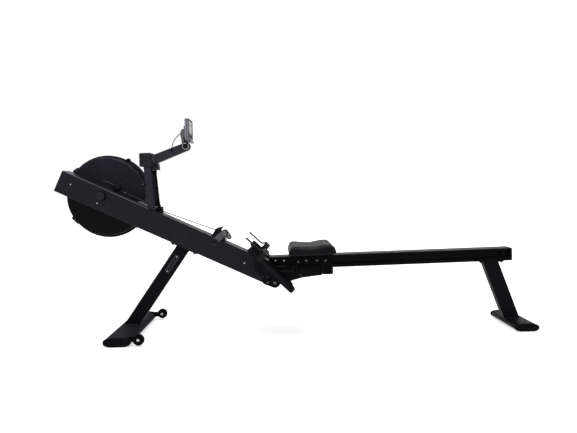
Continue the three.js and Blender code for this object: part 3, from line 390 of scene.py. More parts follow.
def metal(slot, name, colour, rough, grain=(0.04, 1, 1), depth=0.02):
    look = Look(slot, name, colour, rough, metal=1)
    look.bump(look.noise(0.5, 4, grain), 0.35, depth)
    return look.done(look.worn(look.shades(6, 0.08), 0.72, 4, 0.5), 0.06, 3)


def anodised(*basics):
    look = Look("dark_aluminium", *basics)
    along_rail = (0, RAIL_ANGLE, 0)
    look.bump(look.noise(0.7, 3, (0.012, 1, 1), along_rail), 0.4, 0.04)
    look.bump(look.noise(0.4, 2), 0.2, 0.02)
    drawn = look.noise(2.2, 4, (0.006, 1, 1), along_rail)
    return look.done(look.dusty(look.blended(look.tint(0.86), look.tint(1.2), drawn), 0.03), 0.05, 14)


def vinyl(*basics):
    look = Look("black_vinyl", *basics)
    connect(look.tree, look.shader, {"Sheen Weight": 0.04, "Sheen Roughness": 0.4})
    look.bump(look.ramp(look.cells(1.5, "DISTANCE_TO_EDGE"), 0.0, 0.22), 0.5, 0.10)
    look.bump(look.noise(0.5, 3), 0.25, 0.04)
    look.bump(look.noise(9, 3), 0.2, 0.25)
    creases = look.ramp(look.cells(1.5, "DISTANCE_TO_EDGE"), 0.0, 0.1)
    grained = look.blended(look.tint(0.72), look.shades(30, 0.1), creases)
    return look.done(look.dusty(grained, 0.03), 0.05, 10)


def webbing(name, colour):
    """A flat weave, drawn in the strap's UV, which holds metres along and across it."""
    look = Look("webbing", name, colour, 0.85, 0.2)
    connect(look.tree, look.shader, {"Sheen Weight": 0.06, "Sheen Roughness": 0.6})
    along = look.node("SeparateXYZ", {0: look.mapped(source=look.uv)}, "X")
    across = along.node.outputs["Y"]
    lean = look.math("PINGPONG", across, 3.0)
    warp = look.math("SINE", look.math("MULTIPLY", across, math.tau / 1.5))
    weft = look.math("SINE", look.math("MULTIPLY", look.math("ADD", along, lean), math.tau / 1.1))
    weave = look.math("MULTIPLY_ADD", look.math("MULTIPLY", warp, weft), 0.5, 0.5)
    look.bump(weave, 0.8, 0.35)
    look.bump(look.noise(0.3, 3, (0.2, 1, 1), source=look.uv), 0.4, 0.1)
    return look.done(look.worn(look.blended(look.tint(0.6), look.tint(1.5), weave), 2.2, 6, 0.3), 0.04, 4)


def glass(name, colour):
    look = Look("screen", name, colour, 0.12)
    connect(look.tree, look.shader, {"Coat Weight": 0.4})
    look.bump(look.noise(12, 2), 0.05, 0.05)
    smudged = look.blended(colour, look.tint(1.15), look.ramp(look.noise(25, 3), 0.4, 0.7))
    return look.done(smudged, 0.05, 15)


CASE_BACK = TILT.x + 5
CASE_DEPTH = 18
CASE_FRONT = CASE_BACK + CASE_DEPTH

BEAM_PAINT = powder_coat("beam_powder_coat", (0.0094, 0.0095, 0.0138), 0.40, 0.11)
# Painted shade: a darker copy of the frame's powder coat, for the shade low on the machine; every part given
# this paint shares the darkening
SHADED_LEG_PAINT = powder_coat("leg_powder_coat", (0.0036, 0.0036, 0.0052), 0.45, 0.048)
FOOT_PAINT = powder_coat("foot_powder_coat", (0.0120, 0.0122, 0.0170), 0.6, 0.02)
MAST_PAINT = powder_coat("mast_powder_coat", (0.018, 0.0182, 0.0255), 0.42, 0.16)
CARRIAGE_PAINT = powder_coat("carriage_powder_coat", (0.0022, 0.0022, 0.0026), 0.5, 0.03)
PLASTIC = moulded("moulded_black", (0.0185, 0.0187, 0.0262), 0.5, 0.2)
FINE_PLASTIC = moulded("fine_moulded_black", (0.0058, 0.0058, 0.0084), 0.42, 0.09, 0.5)
COLLAR_PLASTIC = moulded("collar_black", (0.0115, 0.0116, 0.0166), 0.5, 0.14)
PLATE_PLASTIC = moulded("footplate_black", (0.0048, 0.0048, 0.0066), 0.45, 0.05, 0.6)
HOUSING = housing_plastic("housing_black", (0.0145, 0.0146, 0.0205), 0.5, 0.07)
CASE = case_plastic("monitor_silver", (0.27, 0.274, 0.296), 0.4, 0.3)
SILVER = moulded("silver_plastic", (0.13, 0.135, 0.145), 0.4, 0.3, 0.4, "silver_plastic")
FAN_PLASTIC = moulded("fan_grey", (0.20, 0.21, 0.22), 0.4, 0.4, 0.6, "silver_plastic")
NYLON = moulded("white_nylon", (0.62, 0.62, 0.60), 0.45, 0.4, 0.5, "white_plastic")
RUBBER = rubber("black_rubber", (0.0033, 0.0033, 0.0044), 0.7, 0.05)
TYRE = rubber("tyre_rubber", (0.003, 0.003, 0.0033), 0.75, 0.04)
GRIP = rubber("grip_foam", (0.021, 0.0212, 0.026), 0.5, 0.2)
STEEL = metal("bright_steel", "zinc_steel", (0.62, 0.63, 0.64), 0.3)
DARK_STEEL = metal("bright_steel", "black_oxide_steel", (0.10, 0.10, 0.105), 0.42)
DARK_CHROME = metal("chrome", "dark_chrome", (0.26, 0.265, 0.27), 0.2, (1, 1, 1), 0.004)
RAIL_METAL = anodised("anodised_rail", (0.0025, 0.0026, 0.003), 0.34, 0.035)
PLAQUE = metal("dark_aluminium", "plaque_metal", (0.032, 0.033, 0.038), 0.5)
PLAQUE_FIELD = moulded("plaque_field", (0.011, 0.0112, 0.0145), 0.45, 0.14, 0.4, "dark_aluminium")
VINYL = vinyl("seat_vinyl", (0.0052, 0.0052, 0.0066), 0.5, 0.07)
WEBBING = webbing("black_webbing", (0.0065, 0.0065, 0.0075))
# Painted sheen: the pull strap is several times lighter than the black webbing, for the light its upper face
# catches at a grazing angle
LIT_PULL_WEBBING = webbing("pull_webbing_lit", (0.05, 0.05, 0.053))
SCREEN = glass("display_window", (0.13, 0.15, 0.135))


# ------------------------------------------------------------------ mesh making
EDGE_ANGLE = math.radians(28)  # edges sharper than this are rounded
MERGE = 0.02  # mm; vertices of a CAD node that are closer than this are one
FLAT_ANGLE = math.radians(0.7)  # CAD faces that turn less than this are one
SMOOTH_ANGLE = 60  # degrees, for pieces made of round tubes
CURVE_PARTS = 24  # steps between two points of a curve before it is redrawn evenly


def bake(obj):
    """Turns the modifiers into plain mesh."""
    bpy.context.view_layer.update()
    evaluated = obj.evaluated_get(bpy.context.evaluated_depsgraph_get())
    mesh = bpy.data.meshes.new_from_object(evaluated)
    obj.modifiers.clear()
    old = obj.data
    obj.data = mesh
    bpy.data.meshes.remove(old)
    mesh.name = obj.name


def change(obj, kind, **settings):
    """Adds a modifier with its settings; bake applies it."""
    modifier = obj.modifiers.new(kind.lower(), kind)
    for name, value in settings.items():
        setattr(modifier, name, value)
    return modifier


def settle(obj, body, material, replaces, slot=None, edge=0.0, segments=2, smooth=40):
    """Rounds edges by edge mm, shades, paints and places a piece; one with no body is left unattached."""
    bpy.context.scene.collection.objects.link(obj)
    obj.data.materials.clear()
    obj.data.materials.append(material)
    if edge:
        change(obj, "BEVEL", width=edge * MM, segments=segments, use_clamp_overlap=False,
               limit_method="ANGLE", angle_limit=EDGE_ANGLE, miter_outer="MITER_ARC")
        bake(obj)
    obj.data.shade_smooth()
    obj.data.set_sharp_from_angle(angle=math.radians(smooth))
    change(obj, "WEIGHTED_NORMAL", keep_sharp=True)
    bake(obj)
    if body:
        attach(obj, body)
    if replaces:
        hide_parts(*replaces)
    return obj


def mesh_object(name, bm):
    mesh = bpy.data.meshes.new(name)
    bm.to_mesh(mesh)
    bm.free()
    return bpy.data.objects.new(name, mesh)


def refine(node, material, edge, segments=2, slot=None):
    """The CAD node's own shape with its edges rounded."""
    bm = bmesh.new()
    bm.from_mesh(frame["nodes"][node].data)
    bmesh.ops.remove_doubles(bm, verts=bm.verts, dist=MERGE * MM)
    bmesh.ops.dissolve_limit(bm, angle_limit=FLAT_ANGLE, verts=bm.verts, edges=bm.edges)
    obj = mesh_object(node + "_piece", bm)
    return settle(obj, frame["nodes"][node]["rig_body"], material, (node,), slot, edge, segments)


def listed(value, count):
    """One number for each point, from a list or from one number."""
    return value if isinstance(value, (list, tuple)) else [value] * count


def stepped(points, step, closed=True):
    """Points about step mm apart along straight lines."""
    points = [Vector(p) for p in points]
    out = []
    for a, b in zip(points, points[1:] + points[:1] if closed else points[1:]):
        count = max(1, round((b - a).length / step))
        out += [a.lerp(b, k / count) for k in range(count)]
    return out if closed else out + [points[-1]]


def arc(centre, radius, first, last, count, a=X, b=Z):
    """Points from first to last degrees, in the plane of a and b."""
    turns = [math.radians(first + (last - first) * k / (count - 1)) for k in range(count)]
    return [Vector(centre) + a * (radius * math.cos(t)) + b * (radius * math.sin(t)) for t in turns]


def circle(centre, radius, count, a=X, b=Z):
    return arc(centre, radius, 0, 360, count + 1, a, b)[:-1]


class Shape:
    """Collects solids in millimetres from the fold pivot and turns them into one piece."""

    def __init__(self):
        self.bm = bmesh.new()
        self.uv = self.bm.loops.layers.uv.new("UVMap")

    def ring(self, points):
        return [self.bm.verts.new(p) for p in points]

    def face(self, verts):
        unique = list(dict.fromkeys(verts))
        if len(unique) > 2:
            self.bm.faces.new(unique)

    def skin(self, rings, ends=False):
        """Quads between rings of the same count, and faces on the ends. A ring of one vertex is a pole."""
        for a, b in zip(rings, rings[1:]):
            count = max(len(a), len(b))
            a, b = (ring * count if len(ring) == 1 else ring for ring in (a, b))
            for i in range(count):
                j = (i + 1) % count
                self.face([a[i], a[j], b[j], b[i]])
        if ends:
            self.face(rings[0][::-1])
            self.face(rings[-1])
        return self

    def lathe(self, profile, centre, axis, sides=24, hexes=()):
        """A profile of [radius, height] about an axis. Rings whose number is in hexes are hexagons."""
        axis = Vector(axis).normalized()
        side = axis.orthogonal().normalized()
        other = axis.cross(side)
        rings = []
        for number, (radius, height) in enumerate(profile):
            middle = Vector(centre) + axis * height
            if radius < 1e-6:
                rings.append(self.ring([middle]))
                continue
            points = []
            for i in range(sides):
                turn = math.tau * i / sides
                reach = radius
                if number in hexes:
                    reach /= math.cos((turn % (math.pi / 3)) - math.pi / 6)
                points.append(middle + (side * math.cos(turn) + other * math.sin(turn)) * reach)
            rings.append(self.ring(points))
        self.skin(rings)
        if len(rings[0]) > 1 and profile[0] == profile[-1]:
            bmesh.ops.remove_doubles(self.bm, verts=rings[0] + rings[-1], dist=1e-5)
        return self

    def tube(self, path, radius, sides=8, closed=False):
        """A round tube along a line of points; radius may be one number or one for each point."""
        path = [Vector(p) for p in path]
        rings, side = [], None
        for i, (point, r) in enumerate(zip(path, listed(radius, len(path)))):
            before = path[i - 1] if i or closed else point
            after = path[(i + 1) % len(path)] if i + 1 < len(path) or closed else point
            way = (after - before).normalized()
            side = way.orthogonal() if side is None else side - way * side.dot(way)
            side.normalize()
            other = way.cross(side)
            turns = [math.tau * k / sides for k in range(sides)]
            rings.append(self.ring([point + (side * math.cos(t) + other * math.sin(t)) * r for t in turns]))
        if closed:
            return self.skin(rings + rings[:1])
        return self.skin(rings, ends=True)

    def rod(self, points, radius, step, sides=8):
        """A tube along straight lines, in pieces about step mm long."""
        return self.tube(stepped(points, step, False), radius, sides)

    def prism(self, outline, start, end, a=X, b=Z, c=Y, origin=(0, 0, 0)):
        """An outline in the plane of a and b, pushed from start to end along c."""
        flat = [Vector(origin) + a * p + b * q for p, q in outline]
        rings = [self.ring([point + c * level for point in flat]) for level in (start, end)]
        return self.skin(rings, ends=True)

    def ribbon(self, path, width, thickness, steps, across=Y):
        """A flat strap along a line of points, its UV in metres along and across."""
        path = [Vector(p) for p in path]
        widths = listed(width, len(path))
        rings, where, run = [], {}, 0.0
        for i, (point, wide) in enumerate(zip(path, widths)):
            way = (path[min(i + 1, len(path) - 1)] - path[max(i - 1, 0)]).normalized()
            aside = (across - way * across.dot(way)).normalized()
            half = way.cross(aside) * (thickness / 2)
            line = [aside * (wide * (k / steps - 0.5)) for k in range(steps + 1)]
            there = [point + p + half for p in line]
            back = [point + p - half for p in line[::-1]]
            rings.append(self.ring(there + back))
            run += (point - path[i - 1]).length if i else 0
            for k, v in enumerate(rings[-1]):
                where[v] = (run * MM, min(k, 2 * steps + 1 - k) / steps * widths[0] * MM)
        self.skin(rings, ends=True)
        for loop in [loop for face in self.bm.faces for loop in face.loops if loop.vert in where]:
            loop[self.uv].uv = where[loop.vert]
        return self

    def in_row(self, name):
        """The finished mesh as an object in metres."""
        bmesh.ops.transform(self.bm, matrix=TO_ROW, verts=self.bm.verts)
        bmesh.ops.recalc_face_normals(self.bm, faces=self.bm.faces)
        return mesh_object(name, self.bm)

    def made(self, name, body, material, replaces=(), **how):
        return settle(self.in_row(name), body, material, replaces, **how)

    def piped(self, name, body, material, replaces=(), **how):
        """Made with the shading of round tubes."""
        return self.made(name, body, material, replaces, smooth=SMOOTH_ANGLE, **how)


def bezier(start, here, end, steps):
    """A quadratic curve round a corner."""
    shares = [k / steps for k in range(steps + 1)]
    return [start * (1 - t) ** 2 + here * (2 * t * (1 - t)) + end * t * t for t in shares]


def rounded(points, radius, steps=4):
    """A polygon with its corners rounded."""
    out = []
    for i, corner in enumerate(points):
        here, before, after = Vector(corner), Vector(points[i - 1]), Vector(points[(i + 1) % len(points)])
        back, on = before - here, after - here
        trim = min(radius / math.tan(back.angle(on) / 2), 0.45 * back.length, 0.45 * on.length)
        start, end = here + back.normalized() * trim, here + on.normalized() * trim
        out += [tuple(p) for p in bezier(start, here, end, steps)]
    return out


def rectangle(a0, b0, a1, b1):
    return [(a0, b0), (a1, b0), (a1, b1), (a0, b1)]


def evenly(points, count, closed=True):
    """A line redrawn with evenly spaced points."""
    points = [Vector(p) for p in points]
    ends = list(zip(points, points[1:] + points[:1] if closed else points[1:]))
    total = sum((b - a).length for a, b in ends)
    steps = count if closed else count - 1
    out, run = [], 0.0
    for a, b in ends:
        length = (b - a).length
        while len(out) < steps and total * len(out) / steps <= run + length:
            out.append(a.lerp(b, (total * len(out) / steps - run) / max(length, 1e-9)))
        run += length
    return out if closed else out + [points[-1]]


def smooth_path(points, count):
    """A Catmull-Rom curve through the points, with evenly spaced steps."""
    points = [Vector(p) for p in points]
    ends = [points[0] * 2 - points[1], *points, points[-1] * 2 - points[-2]]
    fine = []
    for a, b, c, d in zip(ends, ends[1:], ends[2:], ends[3:]):
        for t in [k / CURVE_PARTS for k in range(CURVE_PARTS)]:
            square = (2 * a - 5 * b + 4 * c - d) * t * t
            fine.append(0.5 * (2 * b + (c - a) * t + square + (3 * b - a - 3 * c + d) * t ** 3))
    return evenly(fine + points[-1:], count, False)


# ------------------------------------------------------------------ CAD nodes that keep their shape
# Their rounding in mm, its segments, and the slot where it isn't the material's own.
for nodes, material, edge, segments, *slot in (
    ("main_beam", BEAM_PAINT, 2.5, 3),
    ("beam_end_cap", PLASTIC, 1.0, 2),
    ("pivot_bracket", SHADED_LEG_PAINT, 1.2, 2),
    ("pivot_pin", DARK_STEEL, 1.0, 2),
    ("fan_cover_near fan_cover_far", HOUSING, 0.8, 2),
    ("mast", MAST_PAINT, 2.5, 3),
    ("mast_collar", COLLAR_PLASTIC, 1.2, 2),
    ("strap_guide", RUBBER, 1.0, 2, "black_plastic"),
    ("handle_hook", FINE_PLASTIC, 1.2, 2),
    ("front_leg", SHADED_LEG_PAINT, 2.0, 3),
    ("leg_plaque", PLAQUE, 0.5, 2, "silver_plastic"),
    ("front_foot", FOOT_PAINT, 0.6, 2),
    ("front_cap_near front_cap_far", RUBBER, 2.0, 3),
    ("wheel_arm_near wheel_arm_far", SHADED_LEG_PAINT, 1.0, 2),
    ("footrest_shaft", SHADED_LEG_PAINT, 0.6, 2),
    ("footplate_near footplate_far", PLATE_PLASTIC, 1.2, 2),
    ("rail", RAIL_METAL, 1.0, 2),
    ("rail_end_cap", RUBBER, 1.0, 2, "black_plastic"),
    ("rail_hinge", SHADED_LEG_PAINT, 1.0, 2),
    ("rear_leg", SHADED_LEG_PAINT, 2.0, 3),
    ("rear_foot", SHADED_LEG_PAINT, 0.6, 2),
    ("rear_cap_near rear_cap_far", RUBBER, 2.0, 3),
    ("seat_carriage", CARRIAGE_PAINT, 0.8, 2),
    ("roller_front_near roller_front_far roller_rear_near roller_rear_far", NYLON, 0.5, 2),
    ("handle_clevis", CARRIAGE_PAINT, 0.8, 2),
    ("strap_drum", PLASTIC, 0.6, 2),
    ("fan_wheel", FAN_PLASTIC, 0.3, 1),
    ("fan_axle", STEEL, 0.6, 2),
    ("resistance_knob", FINE_PLASTIC, 1.0, 2),
    ("monitor_arm", PLASTIC, 2.0, 3),
    ("monitor_case", CASE, 1.0, 2),
    ("monitor_screen", SCREEN, 0.3, 2),
    ("monitor_bracket", FINE_PLASTIC, 0.8, 2),
    ("tilt_knob", DARK_CHROME, 0.6, 2),
    ("button_a button_b button_c", RUBBER, 0.5, 2, "black_plastic"),
    ("transport_wheel_near transport_wheel_far", TYRE, 0.8, 2),
    ("heel_cup_near heel_cup_far", RUBBER, 1.0, 2),
):
    for node in nodes.split():
        refine(node, material, edge, segments, *slot)


# ------------------------------------------------------------------ screws, bolts and welds
def add_screw(shape, centre, axis, radius):
    """A domed head with a hexagon socket on a washer, sunk 1.5 mm into its surface."""
    top = 1.3 + 0.62 * radius
    profile = [
        (0, -1.5), (1.4 * radius, -1.5), (1.4 * radius, 0.8), (1.3 * radius, 1.3), (radius, 1.3),
        (radius, 1.3 + 0.3 * radius), (0.84 * radius, top), (0.5 * radius, top),
        (0.46 * radius, top - 0.5 * radius), (0, top - 0.55 * radius),
    ]
    shape.lathe(profile, centre, axis, hexes=(7, 8))


def add_nut(shape, centre, axis, radius):
    """A hexagon head with a turned chamfer and a washer."""
    top = 1.4 + 0.75 * radius
    washer = [(0, -1.5), (1.5 * radius, -1.5), (1.5 * radius, 1.0), (1.4 * radius, 1.4)]
    head = [(radius, 1.4), (radius, top - 0.8), (0.86 * radius, top)]
    end = [(0.35 * radius, top), (0.3 * radius, top + 1.2), (0, top + 1.4)]
    shape.lathe(washer + head + end, centre, axis, hexes=(4, 5))


def fasteners(name, body, places, radius, make=add_screw, material=DARK_STEEL):
    """One piece with a screw or nut at each place and axis."""
    shape = Shape()
    for centre, axis in places:
        make(shape, centre, axis, radius)
    return shape.made(name, body, material, slot="bright_steel", smooth=32)


def on_sides(spots, depth, sides=(-1, 1)):
    """Places at [x, z] spots that stand out from the sides, depth mm from the middle."""
    return [((x, side * depth, z), Y * side) for side in sides for x, z in spots]


def weld(name, body, path, radius=2.0, closed=True, material=SHADED_LEG_PAINT):
    """A rippled bead along a line."""
    path = stepped(path, 2.4, closed)
    ripple = [radius * (1 + 0.2 * math.sin(1.7 * i)) for i in range(len(path))]
    return Shape().tube(path, ripple, closed=closed).piped(name, body, material)


# ------------------------------------------------------------------ beam, legs, feet and wheels
FACE_SINK = 6  # mm of each saddle plate between a leg and its tube
LEG_HALF = 20
FRONT_LEG_ANGLE = math.radians(34.7)
FRONT_LEG_S = 0.419 * BEAM_LENGTH
FRONT_LEG_WIDTH = 67
REAR_LEG_ANGLE = math.radians(21)
REAR_LEG_R = RAIL_REAR - 91
REAR_LEG_WIDTH = 77
FRONT_FOOT = {"width": 128, "height": 42, "lift": 1.5, "half": 262}
REAR_FOOT = {"width": 119, "height": 37, "lift": 1.5, "half": 150}
OVAL_POWER = 2.7
OVAL_FLAT = 0.6
MAST_S = 0.605 * BEAM_LENGTH


def foot_x(name):
    low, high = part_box(name)
    return ((low[0] + high[0]) / 2 - PIVOT_X) / MM


def oval_top(x, middle, foot):
    """Height of an oval foot tube's surface above the floor at x."""
    share = min(abs(x - middle) / (foot["width"] / 2), 1)
    rise = (1 - share ** OVAL_POWER) ** (1 / OVAL_POWER)
    return foot["lift"] + foot["height"] / 2 + rise * (foot["height"] + OVAL_FLAT) / 2 - OVAL_FLAT / 2


def leg_bottom_weld(leg, body, top, angle, width, foot):
    """A bead round the foot of a slanting leg, on the oval tube that it stands on."""
    half = width / 2 / math.cos(angle)
    centre = top.x - (top.z - foot["height"] - 2) * math.tan(angle)
    middle = foot_x(leg + "_foot")
    line = [centre - half + 2 * half * k / 30 for k in range(31)]
    sides = (-LEG_HALF - 0.6, LEG_HALF + 0.6)
    near, far = ([(x, y, oval_top(x, middle, foot)) for x in line] for y in sides)
    weld(leg + "_leg_weld", body, near + far[::-1], 2.4, material=MAST_PAINT)


def build_legs():
    front_top = beam_at(FRONT_LEG_S, BEAM_LOW - FACE_SINK)
    rear_top = rail_at(REAR_LEG_R, RAIL_LOW - FACE_SINK)
    leg_bottom_weld("front", "frame", front_top, FRONT_LEG_ANGLE, FRONT_LEG_WIDTH, FRONT_FOOT)
    leg_bottom_weld("rear", "rail_arm", rear_top, -REAR_LEG_ANGLE, REAR_LEG_WIDTH, REAR_FOOT)

    saddle = rectangle(-67, -30, 54, 30)
    bolts = [(beam_at(FRONT_LEG_S + s, BEAM_LOW - FACE_SINK, y), -BEAM_UP) for s, y in saddle]
    fasteners("front_saddle_bolts", "frame", bolts, 6, add_nut)
    bolts = [(rear_top + RAIL_OUT * r + Y * y, -RAIL_UP) for r in (-54, 54) for y in (-27, 27)]
    fasteners("rear_saddle_bolts", "rail_arm", bolts, 5, add_nut)
    half = FRONT_LEG_WIDTH / 2 / math.cos(FRONT_LEG_ANGLE - BEAM_ANGLE)
    path = [beam_at(FRONT_LEG_S + s, BEAM_LOW - 7, y) for s, y in rectangle(-half, -21, half, 21)]
    weld("front_saddle_weld", "frame", path)


def build_plaque():
    """The raised border, the field and the screws of the front leg's bare plaque."""
    down = Vector((-math.sin(FRONT_LEG_ANGLE), 0, -math.cos(FRONT_LEG_ANGLE)))
    aside = Vector((math.cos(FRONT_LEG_ANGLE), 0, -math.sin(FRONT_LEG_ANGLE)))
    face = beam_at(FRONT_LEG_S, BEAM_LOW - FACE_SINK, -LEG_HALF - 2.3)
    rim = rounded(rectangle(-12, 50, 12, 152), 4, 5)
    border = Shape().tube([face + aside * a + down * b for a, b in rim], 1.1, closed=True)
    border.piped("plaque_border", "frame", PLAQUE)
    field = Shape().prism(rounded(rectangle(-7, 66, 7, 138), 3), 0, 0.7, aside, down, -Y, face)
    field.made("plaque_field", "frame", PLAQUE_FIELD, edge=0.25)
    spots = [(face + down * b, -Y) for b in (57, 146)]
    fasteners("plaque_screws", "frame", spots, 1.6, material=STEEL)


def build_feet():
    """Ribs under both ends of each foot."""
    for node, body, foot in (("front_foot", "frame", FRONT_FOOT), ("rear_foot", "rail_arm", REAR_FOOT)):
        for label, side in SIDES.items():
            y = side * (foot["half"] - 7)
            ribs = Shape()
            for k in range(-2, 3):
                x = foot_x(node) + k * foot["width"] / 7
                ribs.prism(rounded(rectangle(x - 3, 0.15, x + 3, 2.4), 0.6, 2), y - 6, y + 6)
            ribs.made(node + "_ribs_" + label, body, RUBBER)


def build_wheels():
    cap = [(0, 11.9), (4.4, 11.8), (6.2, 11.2), (6.9, 9.6), (5.8, 9.6), (5.8, 11.0), (0, 11.0)]
    inner = [(5.8, -9.6), (10.2, -9.6), (9.6, -10.9), (5.8, -10.9), (5.8, -9.6)]
    cover = [(0, -1), (7.2, -1), (7.2, 1.2), (6.0, 2.2), (0, 2.6)]
    for label, side in SIDES.items():
        body = "wheel_" + label
        centre = in_mm(JOINTS[body + "_spin"]["pos_m"])
        hub = Shape().lathe(cap, centre, Y * side, 28).lathe(inner, centre, Y * side, 28)
        hub.made(body + "_hub", body, NYLON, smooth=35)
        spokes = Shape()
        for start, end in zip(circle(centre, 11, 6), circle(centre, 21.5, 6)):
            for y in (-8, 8):
                spokes.tube([start + Y * y, end + Y * y], 1.1)
        spokes.made(body + "_spokes", body, TYRE, smooth=50)
        arm_face = (centre.x, side * 233.4, centre.z)
        Shape().lathe(cover, arm_face, Y * -side).made(body + "_axle_cap", "frame", NYLON, smooth=35)


def build_beam():
    screws = on_sides([(-1021, 774), (-891, 677)], BEAM_SIDE, (-1,))
    fasteners("beam_screws", "frame", screws, 2.3, material=STEEL)
    fasteners("beam_screws_low", "frame", on_sides([(-155, 359)], BEAM_SIDE), 2.2, material=STEEL)
    # a thin silver tube along the upper near edge, from the mast to the fan: a painted highlight for the
    # light the edge catches
    edge = [beam_at(s, BEAM_TOP - 0.9, -BEAM_SIDE + 0.9) for s in (0.615 * BEAM_LENGTH, BEAM_LENGTH - 9)]
    Shape().rod(edge, 1.35, 20).piped("beam_edge_highlight", "frame", SILVER)
    end = Shape()
    for k in range(7):
        t = BEAM_LOW + 16 + k * (BEAM_TOP - BEAM_LOW - 32) / 6
        end.rod([beam_at(BEAM_LENGTH + 3.6, t, y) for y in (-36, 36)], 1.3, 12)
    end.piped("end_cap_ribs", "frame", PLASTIC)
    ring = [(math.cos(a) * 9, math.sin(a) * 7) for a in [math.pi * k / 10 for k in range(11)]]
    clip = Shape().tube([beam_at(765 + a, BEAM_LOW + 1 - b, -30) for a, b in ring], 1.6)
    clip.piped("underside_clip", "frame", PLASTIC)


def build_pivot():
    face = BEAM_SIDE + 6.3
    fasteners("bracket_bolts", "frame", on_sides([(-37, 257)], face), 4.2)
    fasteners("bracket_bolts_small", "frame", on_sides([(-38, 286)], face), 2.0)
    profile = [(0, 0), (6.6, 0), (6.6, 2.0), (5.2, 3.8), (2.5, 4.6), (0, 4.8)]
    caps = Shape()
    for side in SIDES.values():
        caps.lathe(profile, (0, side * (BEAM_SIDE + 14.5), PIVOT_Z), Y * side)
    caps.made("pivot_pin_caps", "frame", DARK_STEEL)
    for label, side in SIDES.items():
        path = [(x, side * (BEAM_SIDE + 2), PIVOT_Z + z) for x, z in ((-58, -3), (-52, 52), (-24, 60))]
        weld("bracket_weld_" + label, "frame", path, closed=False)


build_beam()
build_legs()
build_plaque()
build_feet()
build_wheels()
build_pivot()


# ------------------------------------------------------------------ rail and hinge
def build_rail():
    """Drawn lines along the rail, screws in its web and its end cap, and the seat's rear stops."""
    lines = Shape()
    places = ((RAIL_LOW + 5, RAIL_SIDE - 0.25), (RAIL_LOW + 11, RAIL_SIDE - 0.25), (RAIL_TOP - 0.3, 30))
    for side in SIDES.values():
        for q, y in places:
            lines.rod([rail_at(r, q, side * y) for r in (RAIL_FRONT + 1, RAIL_REAR - 1)], 0.8, 60, 6)
    lines.piped("rail_lines", "rail_arm", RAIL_METAL)
    web = RAIL_SIDE - 17
    fasteners("rail_web_bolts", "rail_arm", on_sides([(4, 366), (49, 365)], web), 2.5, material=STEEL)
    heights = (RAIL_LOW + 14, RAIL_TOP - 14)
    spots = [(rail_at(RAIL_REAR + 12, q, y), RAIL_OUT) for q in heights for y in (-28, 28)]
    fasteners("end_cap_screws", "rail_arm", spots, 3.2)
    profile = [(0, -1), (9, -1), (9, 9), (7.5, 11), (0, 11.5)]
    stops = Shape()
    for side in SIDES.values():
        stops.lathe(profile, rail_at(RAIL_REAR - 40, AXLE_Q, side * (web - 1)), Y * side)
    stops.made("seat_stops", "rail_arm", RUBBER)


def build_hinge():
    fasteners("hinge_bolts", "rail_arm", on_sides([(134, 290)], 36), 2.8)
    ridge = [(31, 310), (60, 312), (87, 310), (97, 305), (113, 299), (126, 292), (138, 289)]
    for label, side in SIDES.items():
        y = side * 36.5
        path = [rail_at(r, RAIL_LOW - 1.0, y) for r in (-8, 258)]
        weld("hinge_weld_" + label, "rail_arm", path, closed=False)
        # Painted highlight: silver lines along the dark hinge's ridge and edge stand in for their lit edges
        edge = Shape().tube(smooth_path([(x, y, z) for x, z in ridge], 40), 0.55)
        edge.rod([(15, side * 43.1, 337), (61, side * 43.1, 338)], 0.5, 8)
        edge.piped("hinge_highlight_" + label, "rail_arm", SILVER, slot="frame_dark")


build_rail()
build_hinge()


# ------------------------------------------------------------------ fan housing
FLANGE_RADIUS = 217
HOUSING_FACE = 50.3
HOUSING_MIDDLE = 100
HOUSING_BACK = 149.7
LUG_TURNS = (60, -40, 142, -149)
LUG_PADS = ((14, 62), (-43, -37), (135, 144), (-151, -139))
HUB_RISE = 36.9  # of the fan axle above the beam's axis
BEAM_GAP = 4


def round_hub(radius, degrees, y):
    """A point at a radius and turn about the fan axle; turn 0 is +X and grows towards +Z."""
    turn = math.radians(degrees)
    return Vector((HUB.x + radius * math.cos(turn), y, HUB.z + radius * math.sin(turn)))


def hub_circle(radius, y, count):
    turns = [math.tau * k / count for k in range(count)]
    return [Vector((HUB.x + radius * math.cos(t), y, HUB.z + radius * math.sin(t))) for t in turns]


def clear_of_beam(radius, above):
    """The turns between which a circle on the near face stands clear of the beam, in degrees."""
    reach = BEAM_TOP - HUB_RISE if above else HUB_RISE - BEAM_LOW
    first = math.degrees(math.asin((reach + BEAM_GAP) / radius))
    tilt = 180 - math.degrees(BEAM_ANGLE)
    if above:
        return tilt - 180 + first, tilt - first
    return tilt + first, tilt + 180 - first


